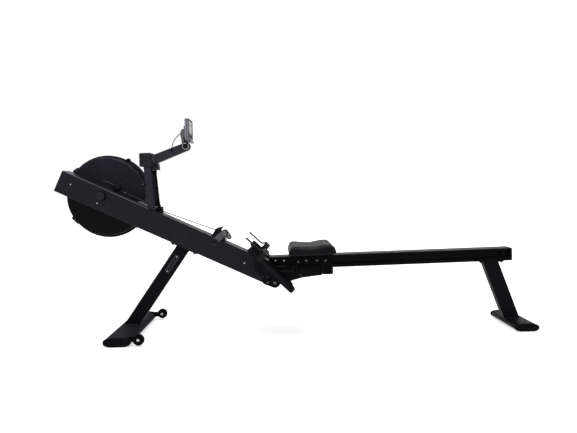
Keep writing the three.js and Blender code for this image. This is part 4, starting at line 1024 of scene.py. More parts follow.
def build_near_cover():
    rings = Shape()
    for radius, y, thick in ((198.5, HOUSING_FACE, 1.3), (176, HOUSING_FACE + 0.4, 0.9)):
        for above in (True, False):
            rings.tube(arc((HUB.x, y, HUB.z), radius, *clear_of_beam(radius, above), 61), thick)
    rings.piped("cover_rings_near", "frame", HOUSING)
    lips = Shape()
    for y in (HOUSING_MIDDLE - 3.4, HOUSING_MIDDLE + 3.4):
        lips.tube(hub_circle(FLANGE_RADIUS - 1.4, y, 120), 2.4, closed=True)
    lips.piped("cover_lips", "frame", PLASTIC)
    seal = Shape().tube(hub_circle(FLANGE_RADIUS - 1.2, HOUSING_MIDDLE, 120), 1.6, closed=True)
    seal.piped("cover_seal", "frame", RUBBER)
    pads = Shape()
    for first, last in LUG_PADS:
        steps = [(k, first + (last - first) * k / 12) for k in range(13)]
        inner = [round_hub(FLANGE_RADIUS - 3, turn, 0) for _, turn in steps]
        lifts = [2 + 7.5 * math.sin(math.pi * k / 12) ** 0.4 for k, _ in steps]
        outer = [round_hub(FLANGE_RADIUS + lift, turn, 0) for lift, (_, turn) in zip(lifts, steps)]
        outline = [(p.x, p.z) for p in inner + outer[::-1]]
        pads.prism(outline, HOUSING_MIDDLE - 6.4, HOUSING_MIDDLE + 6.4)
    pads.made("lug_pads", "frame", PLASTIC, edge=1.0)
    lugs = [(round_hub(FLANGE_RADIUS + 2, turn, HOUSING_MIDDLE - 6.2), -Y) for turn in LUG_TURNS]
    fasteners("lug_screws", "frame", lugs, 5.2, material=TYRE)
    lugs = [(round_hub(FLANGE_RADIUS + 2, turn, HOUSING_MIDDLE + 5.2), Y) for turn in LUG_TURNS]
    fasteners("lug_nuts", "frame", lugs, 4.2, add_nut)
    fasteners("cover_screw", "frame", [((-687, HOUSING_FACE, 770), -Y)], 2.2)


def build_far_cover():
    guard = Shape()
    for radius in (86, 106, 126, 146, 166):
        guard.tube(hub_circle(radius, HOUSING_BACK - 4, 72), 1.3, 6, closed=True)
    guard.piped("fan_guard", "frame", SHADED_LEG_PAINT)
    steps = Shape()
    for radius, lift in ((52, 0.5), (64, 0.3), (186, 0.3), (197, 0.1)):
        steps.tube(hub_circle(radius, HOUSING_BACK + lift, 90), 1.3, closed=True)
    steps.piped("cover_rings_far", "frame", HOUSING)
    profile = [(0, 3.5), (17, 3.5), (17, 4.6), (14.5, 6.6), (7, 7.6), (0, 7.8)]
    cap = Shape().lathe(profile, round_hub(0, 0, HOUSING_BACK), Y, 32)
    cap.made("far_hub_cap", "frame", FINE_PLASTIC)
    places = [(round_hub(43, 45 + 90 * k, HOUSING_BACK), Y) for k in range(4)]
    fasteners("far_hub_screws", "frame", places, 3.6)


def build_hub_dome():
    cap = beam_at(BEAM_LENGTH - 223, 44.3, -BEAM_SIDE)
    turns = [math.radians(9 * k) for k in range(10)]
    dome = [(0, 8), *((23.0 * math.cos(a), 10.6 + 4.2 * math.sin(a)) for a in turns), (0, 14.8)]
    Shape().lathe(dome, cap, -Y, 48).piped("hub_dome", "frame", COLLAR_PLASTIC, ("hub_cap",))
    # Painted shade: the dome's wall is near-black tyre rubber, so it shows as the dark shaded crescent on
    # the dome's right side
    collar = [(0, 0.4), (23.8, 0.4), (23.8, 11.4), (23.2, 12.2), (20.4, 12.2), (0, 12.2)]
    Shape().lathe(collar, cap, -Y, 48).made("hub_shade_collar", "frame", TYRE, smooth=35)


def build_resistance():
    """The index strip behind the slot, its scale and raised lips, and ribs round the knob. The lips are
    silver as a painted highlight of lit edges.
    """
    knob = in_mm(JOINTS["resistance_slide"]["pos_m"])
    slot_s, slot_t = BEAM_LENGTH - 254, BEAM_TOP + 21.5
    y = HOUSING_FACE
    in_beam = (BEAM_OUT, BEAM_UP, Y, PIVOT)
    strip = rectangle(slot_s - 4, slot_t - 2.2, slot_s + 64, slot_t + 2.2)
    Shape().prism(strip, y + 3.2, y + 4.0, *in_beam).made("resistance_scale", "frame", FINE_PLASTIC)
    marks = Shape()
    for k in range(11):
        s = slot_s + 6 * k
        mark = rectangle(s - 0.5, slot_t + 5.4, s + 0.5, slot_t + (8 if k % 5 else 10))
        marks.prism(mark, y - 0.15, y + 0.2, *in_beam)
    marks.made("resistance_marks", "frame", PLASTIC)
    # Painted highlight: the raised lips are silver to stand in for the lit edges of the slot and above the
    # beam
    lips = Shape()
    edges = ((slot_t + 4.6, slot_s - 8, slot_s + 84), (BEAM_TOP + 12, slot_s - 185, slot_s - 14))
    for t, first, last in edges:
        lips.rod([beam_at(s, t, y) for s in (first, last)], 1.25, 10)
    lips.piped("slot_lip_highlights", "frame", SILVER)
    ribs = Shape()
    for spot in circle((knob.x, y, knob.z), 16.4, 14):
        ribs.tube([spot - Y * depth for depth in (13, 8, 2)], [1.1, 1.7, 1.7])
    ribs.made("knob_ribs", "resistance", FINE_PLASTIC, smooth=50)
    pointer = Shape().prism(rectangle(-0.8, 4, 0.8, 13), 15.9, 16.7, X, Z, -Y, (knob.x, y, knob.z))
    pointer.made("knob_pointer", "resistance", PLASTIC)


build_near_cover()
build_far_cover()
build_hub_dome()
build_resistance()


# ------------------------------------------------------------------ handle, strap and hook
HANDLE_RADIUS = 14
BEND_Y = 45
WING_TILT = math.atan2(35, 200)
WING_REACH = 200 / math.cos(WING_TILT)
GRIP_START = WING_REACH - 135
HANDLE_TURN = (
    Matrix.Rotation(math.radians(-2.5), 3, "Z")
    @ Matrix.Rotation(math.radians(-2.8), 3, "X")
    @ Matrix.Rotation(math.radians(20), 3, "Y")
)
GUIDE_S = MAST_S - 38
GUIDE = beam_at(GUIDE_S, BEAM_TOP + 9)
PULL = (GUIDE - HANDLE).normalized()
STRAP_WIDTH = 25.0
STRAP_THICK = 1.7
SEWN_WIDTH = 17.6  # the strap's folded end, in the clevis
SEWN_REACH = 34


def laid(y, drop=0.0):
    """A point of the straightened-out handle, placed as it lies in its hook."""
    return HANDLE + HANDLE_TURN @ Vector((0, y, -drop))


def on_wing(distance, side):
    return laid(side * (BEND_Y + distance * math.cos(WING_TILT)), distance * math.sin(WING_TILT))


def grip_profile():
    """A foam grip with a groove every 4 mm, as [radius, distance along the wing]."""
    profile = [(11.2, GRIP_START + 0.5), (14.6, GRIP_START + 0.5), (15.4, GRIP_START + 1.4)]
    d = GRIP_START + 5
    while d < WING_REACH - 12:
        profile += [(15.5, d), (15.5, d + 2.6), (14.9, d + 3.1), (14.9, d + 3.5)]
        d += 4
    return profile + [(15.5, WING_REACH - 7.5), (11.2, WING_REACH - 7.5), profile[0]]


def build_handle():
    bends = (GRIP_START + 1, GRIP_START - 24, 22)
    middle = [laid(y) for y in (-BEND_Y + 14, -14, 14, BEND_Y - 14)]
    path = [on_wing(d, -1) for d in bends] + middle + [on_wing(d, 1) for d in bends[::-1]]
    bar = Shape().tube(smooth_path(path, 72), HANDLE_RADIUS, 28)
    bar.made("handle_tube", "handle", MAST_PAINT, ("handle_bar",), smooth=50)
    cap = [(0, -12), (10.8, -12), (10.8, -7.4), (15.5, -7.4), (15.5, -3), (13.6, -0.6), (9, -0.1), (0, 0)]
    ring = [(14.1, -4), (14.9, -3.6), (15.9, -0.8), (15.9, 0.4), (14.1, 0.4), (14.1, -4)]
    for label, side in SIDES.items():
        start = on_wing(0, side)
        axis = (on_wing(100, side) - start).normalized()
        grip = Shape().lathe(grip_profile(), start, axis, 32)
        grip.made("grip_" + label, "handle", GRIP, ("handle_grip_" + label,), smooth=35)
        end = Shape().lathe([(r, WING_REACH + d) for r, d in cap], start, axis, 32)
        end.made("grip_cap_" + label, "handle", FINE_PLASTIC, slot="rubber_black", smooth=45)
        band = Shape().lathe([(r, GRIP_START + d) for r, d in ring], start, axis, 32)
        band.made("grip_band_" + label, "handle", GRIP, smooth=45)


def build_strap():
    """The webbing from the drum through the guide to the handle."""
    drum = beam_at(BEAM_LENGTH - 216.5, HUB_RISE + 28 + 0.3 + 1)
    clevis = HANDLE + PULL * 24
    bends = [beam_at(GUIDE_S + s, BEAM_TOP + t) for s, t in ((60, -13), (12, -7.2), (6, 4.6))]
    head = stepped([drum, *bends, GUIDE], 8, False)
    path = head + [GUIDE.lerp(clevis, k / 60) for k in range(1, 61)]
    width = [STRAP_WIDTH if (p - HANDLE).length > SEWN_REACH else SEWN_WIDTH for p in path]
    strap = Shape().ribbon(path, width, STRAP_THICK, steps=4)
    return strap.made("strap", None, LIT_PULL_WEBBING, ("pull_strap",)), path


def build_strap_end():
    """Four rows of stitches on both faces of the folded end, and the clevis pin."""
    stitches = Shape()
    outward = PULL.cross(Y).normalized()
    for face in (-1, 1):
        for y in (-7.5, -2.5, 2.5, 7.5):
            for k in range(7):
                a = HANDLE + PULL * (36.5 + 3.4 * k) + Y * y + outward * (1.05 * face)
                b = a + PULL * 2.2
                stitches.tube([a, a.lerp(b, 0.5) + outward * (0.2 * face), b], 0.42, 6)
    stitches.piped("strap_stitches", "handle", LIT_PULL_WEBBING)
    half = [(0, 13.5), (4.4, 13.5), (5.2, 12.6), (5.2, 11.2), (3.2, 11.2)]
    pin = [(r, -d) for r, d in half] + half[::-1]
    Shape().lathe(pin, HANDLE + PULL * 20.5, Y, 20).made("clevis_pin", "handle", DARK_STEEL, smooth=35)


def build_hook():
    web = [(-62, -13), (-43, 25), (-14, 31), (-19, 12), (-18.6, 0), (-18, -8), (-30, -10)]
    cheeks = Shape()
    for start, end in ((-34.6, -14.6), (14.6, 34.6)):
        cheeks.prism(web, start, end, origin=(HANDLE.x, 0, HANDLE.z))
    cheeks.made("hook_cheeks", "frame", FINE_PLASTIC, edge=1.6, segments=3)
    spots = [(HANDLE.x - 12, HANDLE.z - 27), (HANDLE.x - 38, HANDLE.z - 16)]
    fasteners("hook_screws", "frame", on_sides(spots, 35), 2.4)
    pads = Shape()
    for y in (-18, -30, 18, 30):
        pads.tube(arc(HANDLE + Y * y, 16.3, 200, 280, 9), 1.4)
    pads.piped("cradle_ribs", "frame", RUBBER)
    fasteners("guide_screws", "frame", on_sides([(GUIDE.x - 4, GUIDE.z - 14)], 21.5), 2.4)


build_handle()
strap_piece, strap_path = build_strap()
build_strap_end()
build_hook()


# ------------------------------------------------------------------ mast, arm and cables
MAST_LEAN = math.radians(4.4)
MAST_HEIGHT = 217
MAST_FOOT = beam_at(MAST_S, BEAM_TOP)
MAST_TOP = MAST_FOOT + Vector((-math.sin(MAST_LEAN), 0, math.cos(MAST_LEAN))) * MAST_HEIGHT
COLLAR_RIGHT = MAST_TOP.x + 25.8
COLLAR_LEFT = COLLAR_RIGHT - 62
COLLAR_BASE = MAST_TOP.z
COLLAR_HALF = 36
ARM_ANGLE = math.radians(21.5)
ARM_OUT = Vector((math.cos(ARM_ANGLE), 0, math.sin(ARM_ANGLE)))
ARM_UP = Vector((-math.sin(ARM_ANGLE), 0, math.cos(ARM_ANGLE)))
ARM_PIN = in_mm(JOINTS["arm_fold"]["pos_m"])
ARM_ROOT = Vector((COLLAR_RIGHT + 6.3, 0, COLLAR_BASE + 36))
ARM_LENGTH = 178
ARM_HALF = 15
CABLE_EXIT = ARM_ROOT + ARM_OUT * (0.56 * ARM_LENGTH) + Z * 9
CABLE_TOP = Vector((COLLAR_RIGHT + 10, 0, COLLAR_BASE - 16.5))
CABLE_FOOT = Vector((GUIDE.x - 5, 0, GUIDE.z + 27.5))
LEAD_RADIUS = 4.9
RELIEF_LENGTH = 24  # of the reliefs at the thick cable's ends
RELIEF_ROOM = 3.6  # left free beside them
MONITOR_LEAD_RADIUS = 2.0


def build_collar():
    bands = Shape()
    for z in (COLLAR_BASE + 7, COLLAR_BASE + 62):
        ring = rounded(rectangle(COLLAR_LEFT, -COLLAR_HALF, COLLAR_RIGHT, COLLAR_HALF), 2.0)
        bands.tube(stepped([(x, y, z) for x, y in ring], 6), 0.7, closed=True)
    bands.piped("collar_bands", "frame", PLASTIC)
    spots = [(COLLAR_LEFT + 12, COLLAR_BASE + z) for z in (16, 52)]
    fasteners("collar_screws", "frame", on_sides(spots, COLLAR_HALF), 2.2, material=TYRE)
    fasteners("arm_pin_nuts", "frame", on_sides([(ARM_PIN.x, ARM_PIN.z)], 21.2), 2.8, add_nut, TYRE)
    plate = rounded(rectangle(MAST_S + 22, -38, MAST_S + 78, 38), 4)
    flange = Shape().prism(plate, BEAM_TOP + 5.1, BEAM_TOP + 6, BEAM_OUT, Y, BEAM_UP, PIVOT)
    flange.made("flange_plate", "frame", SILVER, edge=0.3)
    bolts = [(beam_at(MAST_S + s, BEAM_TOP + 5.6, y), BEAM_UP) for s in (32, 68) for y in (-30, 30)]
    fasteners("mast_flange_bolts", "frame", bolts, 4.4, add_nut)
    foot = rectangle(-18.6, -31, 18.6, 31)
    path = [(MAST_FOOT.x + x, y, MAST_FOOT.z - x * math.tan(BEAM_ANGLE) + 5.6) for x, y in foot]
    weld("mast_weld", "frame", path, 1.9, material=MAST_PAINT)


def mast_right(z):
    return MAST_FOOT.x - (z - MAST_FOOT.z) * math.tan(MAST_LEAN) + 17.4


def cable_left(z):
    share = (z - CABLE_FOOT.z) / (CABLE_TOP.z - CABLE_FOOT.z)
    return CABLE_FOOT.x + (CABLE_TOP.x - CABLE_FOOT.x) * share - 5.6


def build_duct():
    """A closing strip between the mast's right side and the cable, a plate behind it, and clips."""
    low, high = CABLE_FOOT.z + 1, COLLAR_BASE - 1.5
    start, end = low + RELIEF_LENGTH, CABLE_TOP.z - RELIEF_LENGTH
    outline = [
        (mast_right(low), low), (cable_left(low) - RELIEF_ROOM, low),
        (cable_left(start) - RELIEF_ROOM, start), (cable_left(start), start + 2),
        (cable_left(end - 2), end - 2), (cable_left(end) - RELIEF_ROOM, end),
        (COLLAR_RIGHT - 9, high), (mast_right(high), high),
    ]
    Shape().prism(outline, -7, 7).made("mast_duct", "frame", COLLAR_PLASTIC, edge=1.0)
    low, high = GUIDE.z + 21, COLLAR_BASE - 17
    right = [(cable_left(z) + 7.6, z) for z in (low, high)]
    plate = [(mast_right(low), low), *right, (mast_right(high), high)]
    Shape().prism(plate, 9.4, 12).made("duct_back", "frame", FINE_PLASTIC, edge=0.5)
    clips = Shape()
    for share in (0.3, 0.7):
        clips.tube(arc(CABLE_TOP.lerp(CABLE_FOOT, share), 6.2, -100, 100, 11, X, Y), 1.1)
    clips.piped("duct_clips", "frame", FINE_PLASTIC)


def build_mast_cable():
    route = [CABLE_TOP.lerp(CABLE_FOOT, k / 24) for k in range(25)]
    cable = Shape().tube(route, LEAD_RADIUS, 16)
    piece = cable.piped("mast_lead", "frame", RUBBER, ("mast_cable",))
    profile = [(5.0, -0.4)]
    for k in range(6):
        radius, start = 7.0 - 0.3 * k, 3.4 * k
        profile += [(radius, start), (radius - 0.2, start + 2.2), (radius - 1.2, start + 2.5),
                    (radius - 1.2, start + 3.2)]
    profile += [(5.3, 21.5), (5.0, 22), (5.0, -0.4)]
    way = (CABLE_FOOT - CABLE_TOP).normalized()
    reliefs = Shape()
    for start, axis in ((CABLE_TOP, way), (CABLE_FOOT, -way)):
        reliefs.lathe(profile, start, axis, 20)
    reliefs.made("lead_reliefs", "frame", RUBBER)
    return piece, route


def build_arm():
    seam = Shape()
    for sign in (-1, 1):
        rises = [(d, 22.5 - 1.5 * d / ARM_LENGTH) for d in (8, ARM_LENGTH)]
        line = [ARM_ROOT + ARM_OUT * d + ARM_UP * (sign * rise) for d, rise in rises]
        seam.rod(line, 0.7, 20, 6)
    seam.piped("arm_seams", "arm", PLASTIC)
    ring = [(2.6, -1.0), (6.2, -1.0), (6.2, 0.8), (5.0, 1.8), (2.8, 1.8), (2.6, -1.0)]
    grommet = Shape().lathe(ring, (CABLE_EXIT.x, -ARM_HALF, CABLE_EXIT.z), -Y)
    grommet.made("arm_grommet", "arm", RUBBER, smooth=45)
    spots = [(ARM_ROOT + ARM_OUT * d).xz for d in (34, 138)]
    fasteners("arm_screws", "arm", on_sides(spots, ARM_HALF, (1,)), 3.0)


build_collar()
build_duct()
lead_piece, lead_route = build_mast_cable()
build_arm()


# ------------------------------------------------------------------ monitor
CASE_LOW = TILT.z + 28
CASE_TOP = CASE_LOW + 110
CASE_HALF = 65
SCREEN_BOX = (-CASE_HALF + 14, CASE_LOW + 40, CASE_HALF - 14, CASE_TOP - 12)
INK = (CASE_FRONT - 0.55, CASE_FRONT - 0.3)  # between which the display's figures lie
KNOB_FACE = -20.6
SEGMENTS = {"0": "abcdef", "1": "bc", "2": "abged", "4": "fgbc", "5": "afgcd", "6": "afgecd", "8": "abcdefg"}


def add_digit(shape, digit, y, z, width, height, stroke):
    """Seven bars, seen from +X, where +Y is to the right."""
    right, half, top = y + width, z + height / 2, z + height
    bars = {
        "a": (y, top, right, top), "g": (y, half, right, half), "d": (y, z, right, z),
        "f": (y, half, y, top), "b": (right, half, right, top),
        "e": (y, z, y, half), "c": (right, z, right, half),
    }
    for key in SEGMENTS[digit]:
        y0, z0, y1, z1 = bars[key]
        long, wide = 0.8 * stroke, stroke / 2
        dy, dz = (long, -wide) if z0 == z1 else (-wide, long)
        shape.prism(rectangle(y0 + dy, z0 + dz, y1 - dy, z1 - dz), *INK, Y, Z, X)


def build_display():
    y0, z0, y1, z1 = SCREEN_BOX
    loop = rounded(rectangle(y0 - 2.5, z0 - 2.5, y1 + 2.5, z1 + 2.5), 6, 5)
    bezel = Shape().tube([(CASE_FRONT - 0.6, y, z) for y, z in loop], 1.6, closed=True)
    bezel.piped("screen_bezel", "monitor", FINE_PLASTIC)
    inset = rectangle(-CASE_HALF + 4.2, CASE_LOW + 4.2, CASE_HALF - 4.2, CASE_TOP - 4.2)
    rim = Shape().tube([(CASE_FRONT - 0.9, y, z) for y, z in rounded(inset, 10, 6)], 2.1, closed=True)
    rim.piped("case_rim", "monitor", FINE_PLASTIC)

    figures = Shape()
    for k, digit in enumerate("0512"):
        add_digit(figures, digit, y0 + 16 + 17 * k + (4 if k > 1 else 0), z1 - 27, 11, 17, 2.4)
    for dot in (-20, -13):
        centre = y0 + 16 + 17 * 2 - 1.5
        figures.prism(rectangle(centre - 1, z1 + dot, centre + 1, z1 + dot + 2.2), *INK, Y, Z, X)
    for start, digits in ((10, "28"), (50, "1460")):
        for k, digit in enumerate(digits):
            add_digit(figures, digit, y0 + start + 9 * k, z0 + 6, 6, 10, 1.4)
    figures.made("screen_figures", "monitor", FINE_PLASTIC)
    divider = Shape().prism(rectangle(y0 + 5, z0 + 20.2, y1 - 5, z0 + 20.8), *INK, Y, Z, X)
    divider.made("screen_divider", "monitor", FINE_PLASTIC)
    button_rings = Shape()
    for y in (-32, 0, 32):
        button_rings.tube(circle((CASE_FRONT + 0.1, y, CASE_LOW + 23), 7.6, 28, Y, Z), 0.8, closed=True)
    button_rings.piped("button_rings", "monitor", FINE_PLASTIC)


def build_case_back():
    lines = Shape()
    for z in (CASE_LOW + 48, CASE_LOW + 59, CASE_LOW + 70):
        lines.rod([(CASE_BACK - 13.1, y, z) for y in (-16, 16)], 0.9, 8, 6)
    loop = rounded(rectangle(-48, CASE_LOW + 12, 48, CASE_LOW + 34), 4)
    lines.tube([(CASE_BACK - 0.1, y, z) for y, z in loop], 0.7, 6, closed=True)
    lines.piped("case_back_lines", "monitor", FINE_PLASTIC)
    corners = [((CASE_BACK, y, z), -X) for y in (-54, 54) for z in (CASE_LOW + 12, CASE_TOP - 12)]
    fasteners("case_screws", "monitor", corners, 2.6)
    pod = [(-26, 50), (-22, 80), (-14, 88), (4.6, 88), (4.6, 46), (-20, 44)]
    cheek = [(-23, 45), (-11, 45), (-5, 17), (-13, 11), (-21, 19)]
    for label, outline, inner, outer in (("pods", pod, 9.5, 28), ("cheeks", cheek, 16.2, 19.8)):
        pair = Shape().prism(outline, -outer, -inner, origin=TILT).prism(outline, inner, outer, origin=TILT)
        pair.made("case_back_" + label, "monitor", SILVER, edge=1.4, segments=3)


def build_tilt_knob():
    core = [(0, 11.5), (13.4, 11.5), (13.4, 12.6), (11.4, 14.2), (4, 14.8), (0, 14.8)]
    centre = Shape().lathe(core, (TILT.x, KNOB_FACE, TILT.z), -Y, 32)
    centre.made("knob_centre", "monitor", FINE_PLASTIC)
    grips = Shape()
    for spot in circle(TILT, 16.2, 18):
        grips.tube([spot + Y * (KNOB_FACE - d) for d in (1, 5, 8)], [0.5, 0.9, 0.5], 6)
    grips.made("knob_grips", "monitor", DARK_CHROME, smooth=50)


def build_monitor_cable():
    """The lead from the hole in the arm to the back of the monitor."""
    end = Vector((CASE_BACK - 13.3, 0, CASE_LOW + 52))
    near_arm = ((-1, 1, -3), (0, -3.4, 3), (3, -6.6, 16), (7, -7, 31), (18, -3, 56))
    points = [(CABLE_EXIT.x + x, y - ARM_HALF, CABLE_EXIT.z + z) for x, y, z in near_arm]
    route = smooth_path([*points, (end.x - 16, -6, end.z - 8), (end.x - 6, 0, end.z), end], 48)
    cable = Shape().tube(route, MONITOR_LEAD_RADIUS, 12)
    piece = cable.piped("monitor_lead", None, RUBBER, ("monitor_cable",))
    relief = [
        (2.1, -0.3), (4.4, -0.3), (4.2, 2), (3.2, 2.3), (3.2, 3), (3.9, 3.2), (3.7, 5),
        (2.9, 5.4), (2.9, 6), (3.4, 6.2), (3.1, 8), (2.1, 8.4), (2.1, -0.3),
    ]
    sleeve = Shape().lathe(relief, end + X * 0.2, -X, 18)
    sleeve.made("monitor_relief", "monitor", RUBBER, smooth=45)
    return piece, route


build_display()
build_case_back()
build_tilt_knob()
monitor_lead, monitor_route = build_monitor_cable()


# ------------------------------------------------------------------ footrests
PLATE_INNER = BEAM_SIDE + 40
PLATE_OUTER = PLATE_INNER + 100
PLATE_MIDDLE = PLATE_INNER + 50
PLATE_LOW = -14
PLATE_TOE = 291
TREAD = -13  # the plate's floor below its rim
TREAD_START = 184  # above what the heel cup reaches
STRAP_U = 218.5  # middle of the toe strap, up the plate
STRAP_BEND = 14
TOE_WIDTH = 25
SHAFT = Vector((-85, 0, PIVOT_Z + 68))


def on_plate(side, u, n, y):
    """A point on one footrest, with y counted from the machine's middle."""
    return foot_at(u, n, side * y)


def build_footplate(side, label):
    """The plate's rim, treads, heel stops, ribs underneath and screws."""
    edge = rectangle(PLATE_LOW + 2.4, PLATE_INNER + 2.4, PLATE_TOE - 2.4, PLATE_OUTER - 2.4)
    loop = rounded(edge, 31.6, 8)
    rim = Shape().tube([on_plate(side, u, -0.5, y) for u, y in loop], 1.5, closed=True)
    rim.rod([on_plate(side, u, -11, PLATE_OUTER + 0.2) for u in (22, 256)], 1.5, 10)
    rim.piped("plate_rim_" + label, "frame", COLLAR_PLASTIC)
    tread = Shape()
    for u in (195, 240, 255, 270):
        for ends in ((PLATE_INNER + 14, PLATE_MIDDLE - 8), (PLATE_MIDDLE + 8, PLATE_OUTER - 14)):
            tread.rod([on_plate(side, u, TREAD, y) for y in ends], 1.6, 8)
    for y in (PLATE_INNER + 9, PLATE_OUTER - 9):
        tread.rod([on_plate(side, u, TREAD, y) for u in (TREAD_START, 262)], 1.1, 12)
    tread.piped("plate_tread_" + label, "frame", FINE_PLASTIC)
    dimple = [(0, -0.5), (3.4, -0.5), (3.4, 0.2), (2.6, 0.9), (1.6, 0.2), (0, 0.1)]
    stops = Shape()
    for k in range(4):
        stops.lathe(dimple, on_plate(side, 78 + 17 * k, TREAD + 0.1, PLATE_MIDDLE - 14), FOOT_OUT, 20)
    stops.made("plate_stops_" + label, "frame", PLASTIC, smooth=45)
    under = Shape()
    for y in (PLATE_INNER + 34, PLATE_MIDDLE, PLATE_OUTER - 34):
        under.rod([on_plate(side, u, TREAD - 12.2, y) for u in (170, 262)], 2.2, 12)
    under.piped("plate_ribs_" + label, "frame", FINE_PLASTIC)
    screws = (PLATE_INNER + 22, PLATE_OUTER - 22)
    places = [(on_plate(side, TREAD_START + 3, TREAD, y), FOOT_OUT) for y in screws]
    fasteners("plate_screws_" + label, "frame", places, 2.6)


def build_toe_strap(side, label):
    """Thin webbing over the toes, its slotted buckle and the loose tail beyond it."""
    half = [(-1.6, -22), (-1.6, 26), (28, 44.4)]
    corners = [Vector((PLATE_INNER + y, n)) for y, n in half]
    corners += [Vector((PLATE_OUTER - y, n)) for y, n in half[::-1]]
    bent = [corners[0]]
    for before, here, after in zip(corners, corners[1:], corners[2:]):
        start, end = (here.lerp(other, STRAP_BEND / (other - here).length) for other in (before, after))
        bent += bezier(start, here, end, 6)
    bent.append(corners[-1])
    path = stepped([on_plate(side, STRAP_U, n, y) for y, n in bent], 5, False)
    strap = Shape().ribbon(path, TOE_WIDTH, STRAP_THICK, across=FOOT_UP, steps=4)
    strap.made("toe_webbing_" + label, "frame", WEBBING, ("toe_strap_" + label,), smooth=50)

    slope = (corners[4] - corners[3]).normalized()
    middle = corners[3].lerp(corners[4], 0.5)
    along = Y * (side * slope.x) + FOOT_OUT * slope.y
    lift = FOOT_UP.cross(along).normalized()
    lift = lift if lift.dot(FOOT_OUT) > 0 else -lift
    centre = on_plate(side, STRAP_U, middle.y, middle.x) + lift * 2.4
    loop = rounded(rectangle(-15.5, -9, 15.5, 9), 3)
    buckle = Shape().tube([centre + FOOT_UP * a + along * b for a, b in loop], 1.7, closed=True)
    for b in (-2.5, 3.5):
        buckle.rod([centre + FOOT_UP * a + along * b for a in (-15, 15)], 1.4, 6)
    buckle.piped("toe_buckle_" + label, "frame", DARK_STEEL)
    build_strap_tail(side, label, centre + lift)
    anchors = [(on_plate(side, STRAP_U, -14, y), Y * (side * way))
               for y, way in ((PLATE_INNER - 2.4, -1), (PLATE_OUTER + 2.4, 1))]
    fasteners("strap_anchors_" + label, "frame", anchors, 2.2, material=TYRE)


def build_strap_tail(side, label, start):
    """The strap's doubled loose end, parallel to the plate, with its moulded tip."""
    bends = ((13, 38, 24), (22, 26, 27), (34, 19.5, 29), (74, 18, 31), (116, 17, 32))
    tail = [on_plate(side, STRAP_U + u, n, PLATE_OUTER - y) for u, n, y in bends]
    line = smooth_path([start, *tail], 40)
    Shape().ribbon(line, 11, 7.4, steps=2).made("toe_tail_" + label, "frame", WEBBING, smooth=50)
    way = (line[-1] - line[-2]).normalized()
    outline = rounded(rectangle(-6.4, -4.4, 6.4, 4.4), 1.4, 2)
    tip = Shape().prism(outline, -9, 3, Y, way.cross(Y).normalized(), way, line[-1])
    tip.made("toe_tip_" + label, "frame", FINE_PLASTIC)


def build_heel_cup(side, label):
    """The grip pad and finger ridge of a sliding heel cup."""
    pad = Shape()
    for k in range(6):
        ends = (PLATE_INNER + 26, PLATE_OUTER - 26)
        pad.rod([on_plate(side, 28 + 11 * k, TREAD + 5.3, y) for y in ends], 1.3, 8)
    box = rectangle(10, PLATE_INNER + 10, 78, PLATE_OUTER - 10)
    lip = [on_plate(side, u, TREAD + 20.2, y) for u, y in rounded(box, 26, 8) if u < 76]
    first = max(range(len(lip)), key=lambda k: (lip[k] - lip[k - 1]).length)
    pad.tube(lip[first:] + lip[:first], 1.9)
    pad.piped("heel_ribs_" + label, "heel_" + label, TYRE)


def build_shaft():
    cap = [(0, 0), (12.4, 0), (12.4, 2.4), (10.5, 4.6), (5, 5.8), (0, 6)]
    collar = [(10.2, 0), (15, 0), (15, 4), (13, 6), (10.2, 6), (10.2, 0)]
    for name, profile, y in (("caps", cap, PLATE_OUTER - 6.5), ("collars", collar, BEAM_SIDE + 0.2)):
        pair = Shape()
        for side in SIDES.values():
            pair.lathe(profile, (SHAFT.x, side * y, SHAFT.z), Y * side, 28)
        pair.made("shaft_" + name, "frame", FINE_PLASTIC, smooth=45)


for label, side in SIDES.items():
    build_footplate(side, label)
    build_toe_strap(side, label)
    build_heel_cup(side, label)
build_shaft()


# ------------------------------------------------------------------ seat
PAD_START, PAD_END = 76, 312
PAD_LOW = RAIL_TOP + 15
PAD_HALF = 155
PAD_CORNER = 27
CHEEK = 56  # half the carriage's width
VOXEL = 5
SIM_FRAMES = 20
SWELL = 4.5  # the most that a point of the cushion may move in the simulation
SIGHT = 0.2  # how far a ray looks for the cushion, in metres


def pad_loop(inset, q):
    """The pad's plan outline, inset from its edge, at one height or a height for each r."""
    box = rectangle(PAD_START + inset, -PAD_HALF + inset, PAD_END - inset, PAD_HALF - inset)
    loop = evenly(rounded(box, max(PAD_CORNER - 0.6 * inset, 4), 10), 150)
    return [rail_at(r, q(r) if callable(q) else q, y) for r, y in loop]


def crown(r):
    """Height of the pad's upper edge along the rail: raised at the front, dished, highest at the rear."""
    front = 9 * max(0.0, 1 - (r - PAD_START) / 95) ** 1.5
    climb = min(max((r - 190) / 75, 0.0), 1.0)
    return 180.5 + front + 8.0 * climb * climb * (3 - 2 * climb)


def padded_shape(levels):
    shape = Shape()
    return shape.skin([shape.ring(pad_loop(inset, q)) for inset, q in levels], ends=True)


def cushion_blank():
    """A rounded block a little smaller than the finished pad."""
    sides = [(7, PAD_LOW + 0.4), (1.0, PAD_LOW + 2.5), (-0.5, PAD_LOW + 9), (0, 168), (1.8, 174)]
    top = ((5.5, 3.8), (11, 1.2), (20, 0.2), (40, 0.0), (66, 0.2), (90, 0.4))
    return padded_shape(sides + [(inset, lambda r, d=drop: crown(r) - d) for inset, drop in top])


def simulate(obj, held):
    """Cloth under pressure, with the held vertices fixed."""
    obj.vertex_groups.new(name="held").add(held, 1.0, "REPLACE")
    cloth = change(obj, "CLOTH")
    cloth.settings.vertex_group_mass = "held"
    cloth.settings.quality = 6
    cloth.settings.use_pressure = True
    cloth.settings.uniform_pressure_force = 4
    cloth.settings.effector_weights.gravity = 0
    cloth.point_cache.frame_start, cloth.point_cache.frame_end = 1, SIM_FRAMES
    for number in range(1, SIM_FRAMES + 1):
        bpy.context.scene.frame_set(number)
    bake(obj)
    bpy.context.scene.frame_set(1)


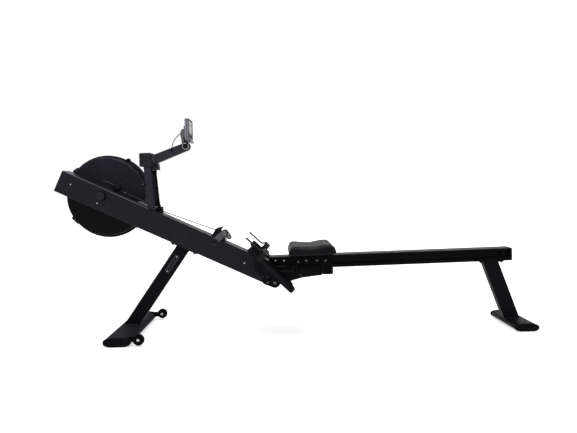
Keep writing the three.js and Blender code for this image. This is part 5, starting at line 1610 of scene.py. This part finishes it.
def inflate(obj):
    """Fills the cushion, held at its underside, with each point kept within SWELL of its start."""
    change(obj, "REMESH", mode="VOXEL", voxel_size=VOXEL * MM)
    bake(obj)
    start = [v.co.copy() for v in obj.data.vertices]
    floor = row(rail_at(PAD_START, PAD_LOW))
    simulate(obj, [i for i, p in enumerate(start) if (p - floor).dot(RAIL_UP) < 7 * MM])
    for v, home in zip(obj.data.vertices, start):
        moved = v.co - home
        if moved.length > SWELL * MM:
            v.co = home + moved.normalized() * SWELL * MM
    change(obj, "SMOOTH", factor=0.6, iterations=3)
    change(obj, "SUBSURF", levels=1)
    bake(obj)


def rest_on_pan(obj):
    """Lifts what hangs below the pan, so that the cushion rests flat on it."""
    base = row(rail_at(0, 0))
    low = (PAD_LOW + 0.3) * MM
    for v in obj.data.vertices:
        height = (v.co - base).dot(RAIL_UP)
        if height < low:
            v.co += RAIL_UP * (low - height)


def build_cushion():
    obj = cushion_blank().in_row("seat_cushion")
    bpy.context.scene.collection.objects.link(obj)
    inflate(obj)
    bpy.context.scene.collection.objects.unlink(obj)
    rest_on_pan(obj)
    return settle(obj, "seat", VINYL, ("seat_pad",), smooth=60)


def on_cushion(tree, loop, from_side=False):
    """Drops a line of points onto the cushion, or pushes it in from the sides."""
    middle = rail_at((PAD_START + PAD_END) / 2, 0)
    out = []
    for point in loop:
        start, way = point + RAIL_UP * 60, -RAIL_UP
        if from_side:
            inside = middle + RAIL_UP * (point - PIVOT).dot(RAIL_UP)
            start, way = point + (point - inside).normalized() * 30, (inside - point).normalized()
        place = tree.ray_cast(row(start), way, SIGHT)[0]
        if place is not None:
            out.append(in_mm(place))
    return out


def build_seams(cushion):
    """Piping round the cushion's side, and a row of stitches on its top."""
    mesh = cushion.data
    tree = BVHTree.FromPolygons([v.co for v in mesh.vertices], [p.vertices[:] for p in mesh.polygons])
    side_line = on_cushion(tree, pad_loop(0, 151), from_side=True)
    Shape().tube(side_line, 1.5, closed=True).piped("seat_piping", "seat", VINYL)
    top_line = on_cushion(tree, pad_loop(26, 200))
    stitches = Shape()
    for a, b in zip(top_line, top_line[1:] + top_line[:1]):
        arch = ((0.1, 0.1), (0.5, 0.45), (0.9, 0.1))
        stitches.tube([a.lerp(b, share) + RAIL_UP * rise for share, rise in arch], 0.5, 6)
    stitches.piped("seat_stitches", "seat", VINYL)


def build_pan():
    """The moulded pan under the cushion."""
    under = RAIL_TOP + 14.9
    top = PAD_LOW + 1.2
    levels = [(20, under), (13, under), (12, PAD_LOW + 0.2), (14, top), (24, top)]
    padded_shape(levels).made("seat_pan", "seat", FINE_PLASTIC, smooth=45)


def build_carriage():
    bolts = [(121, 362), (162, 367), (218, 368), (260, 366)]
    fasteners("carriage_bolts", "seat", on_sides(bolts, CHEEK), 4.0, add_nut)
    lines = Shape()
    for side in SIDES.values():
        y = side * (CHEEK + 0.1)
        lines.rod([rail_at(r, 133, y) for r in (95, 299)], 1.2, 12)
        for r in (96.5, 115, 251, 297):
            lines.rod([rail_at(r, q, y) for q in (36, 84)], 0.9, 12)
    lines.piped("carriage_edges", "seat", MAST_PAINT)
    hub = [(5.6, 0), (9.5, 0), (9.5, 1.2), (8, 2), (5.6, 2), (5.6, 0)]
    for place, r in (("front", 124), ("rear", 264)):
        for label, side in SIDES.items():
            body = "roller_%s_%s" % (place, label)
            piece = Shape().lathe(hub, rail_at(r, AXLE_Q, side * 40.2), Y * side)
            piece.made(body + "_hub", body, RUBBER, smooth=45)


build_carriage()
build_pan()
cushion = build_cushion()
build_seams(cushion)


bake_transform(monitor_lead)
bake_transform(strap_piece)
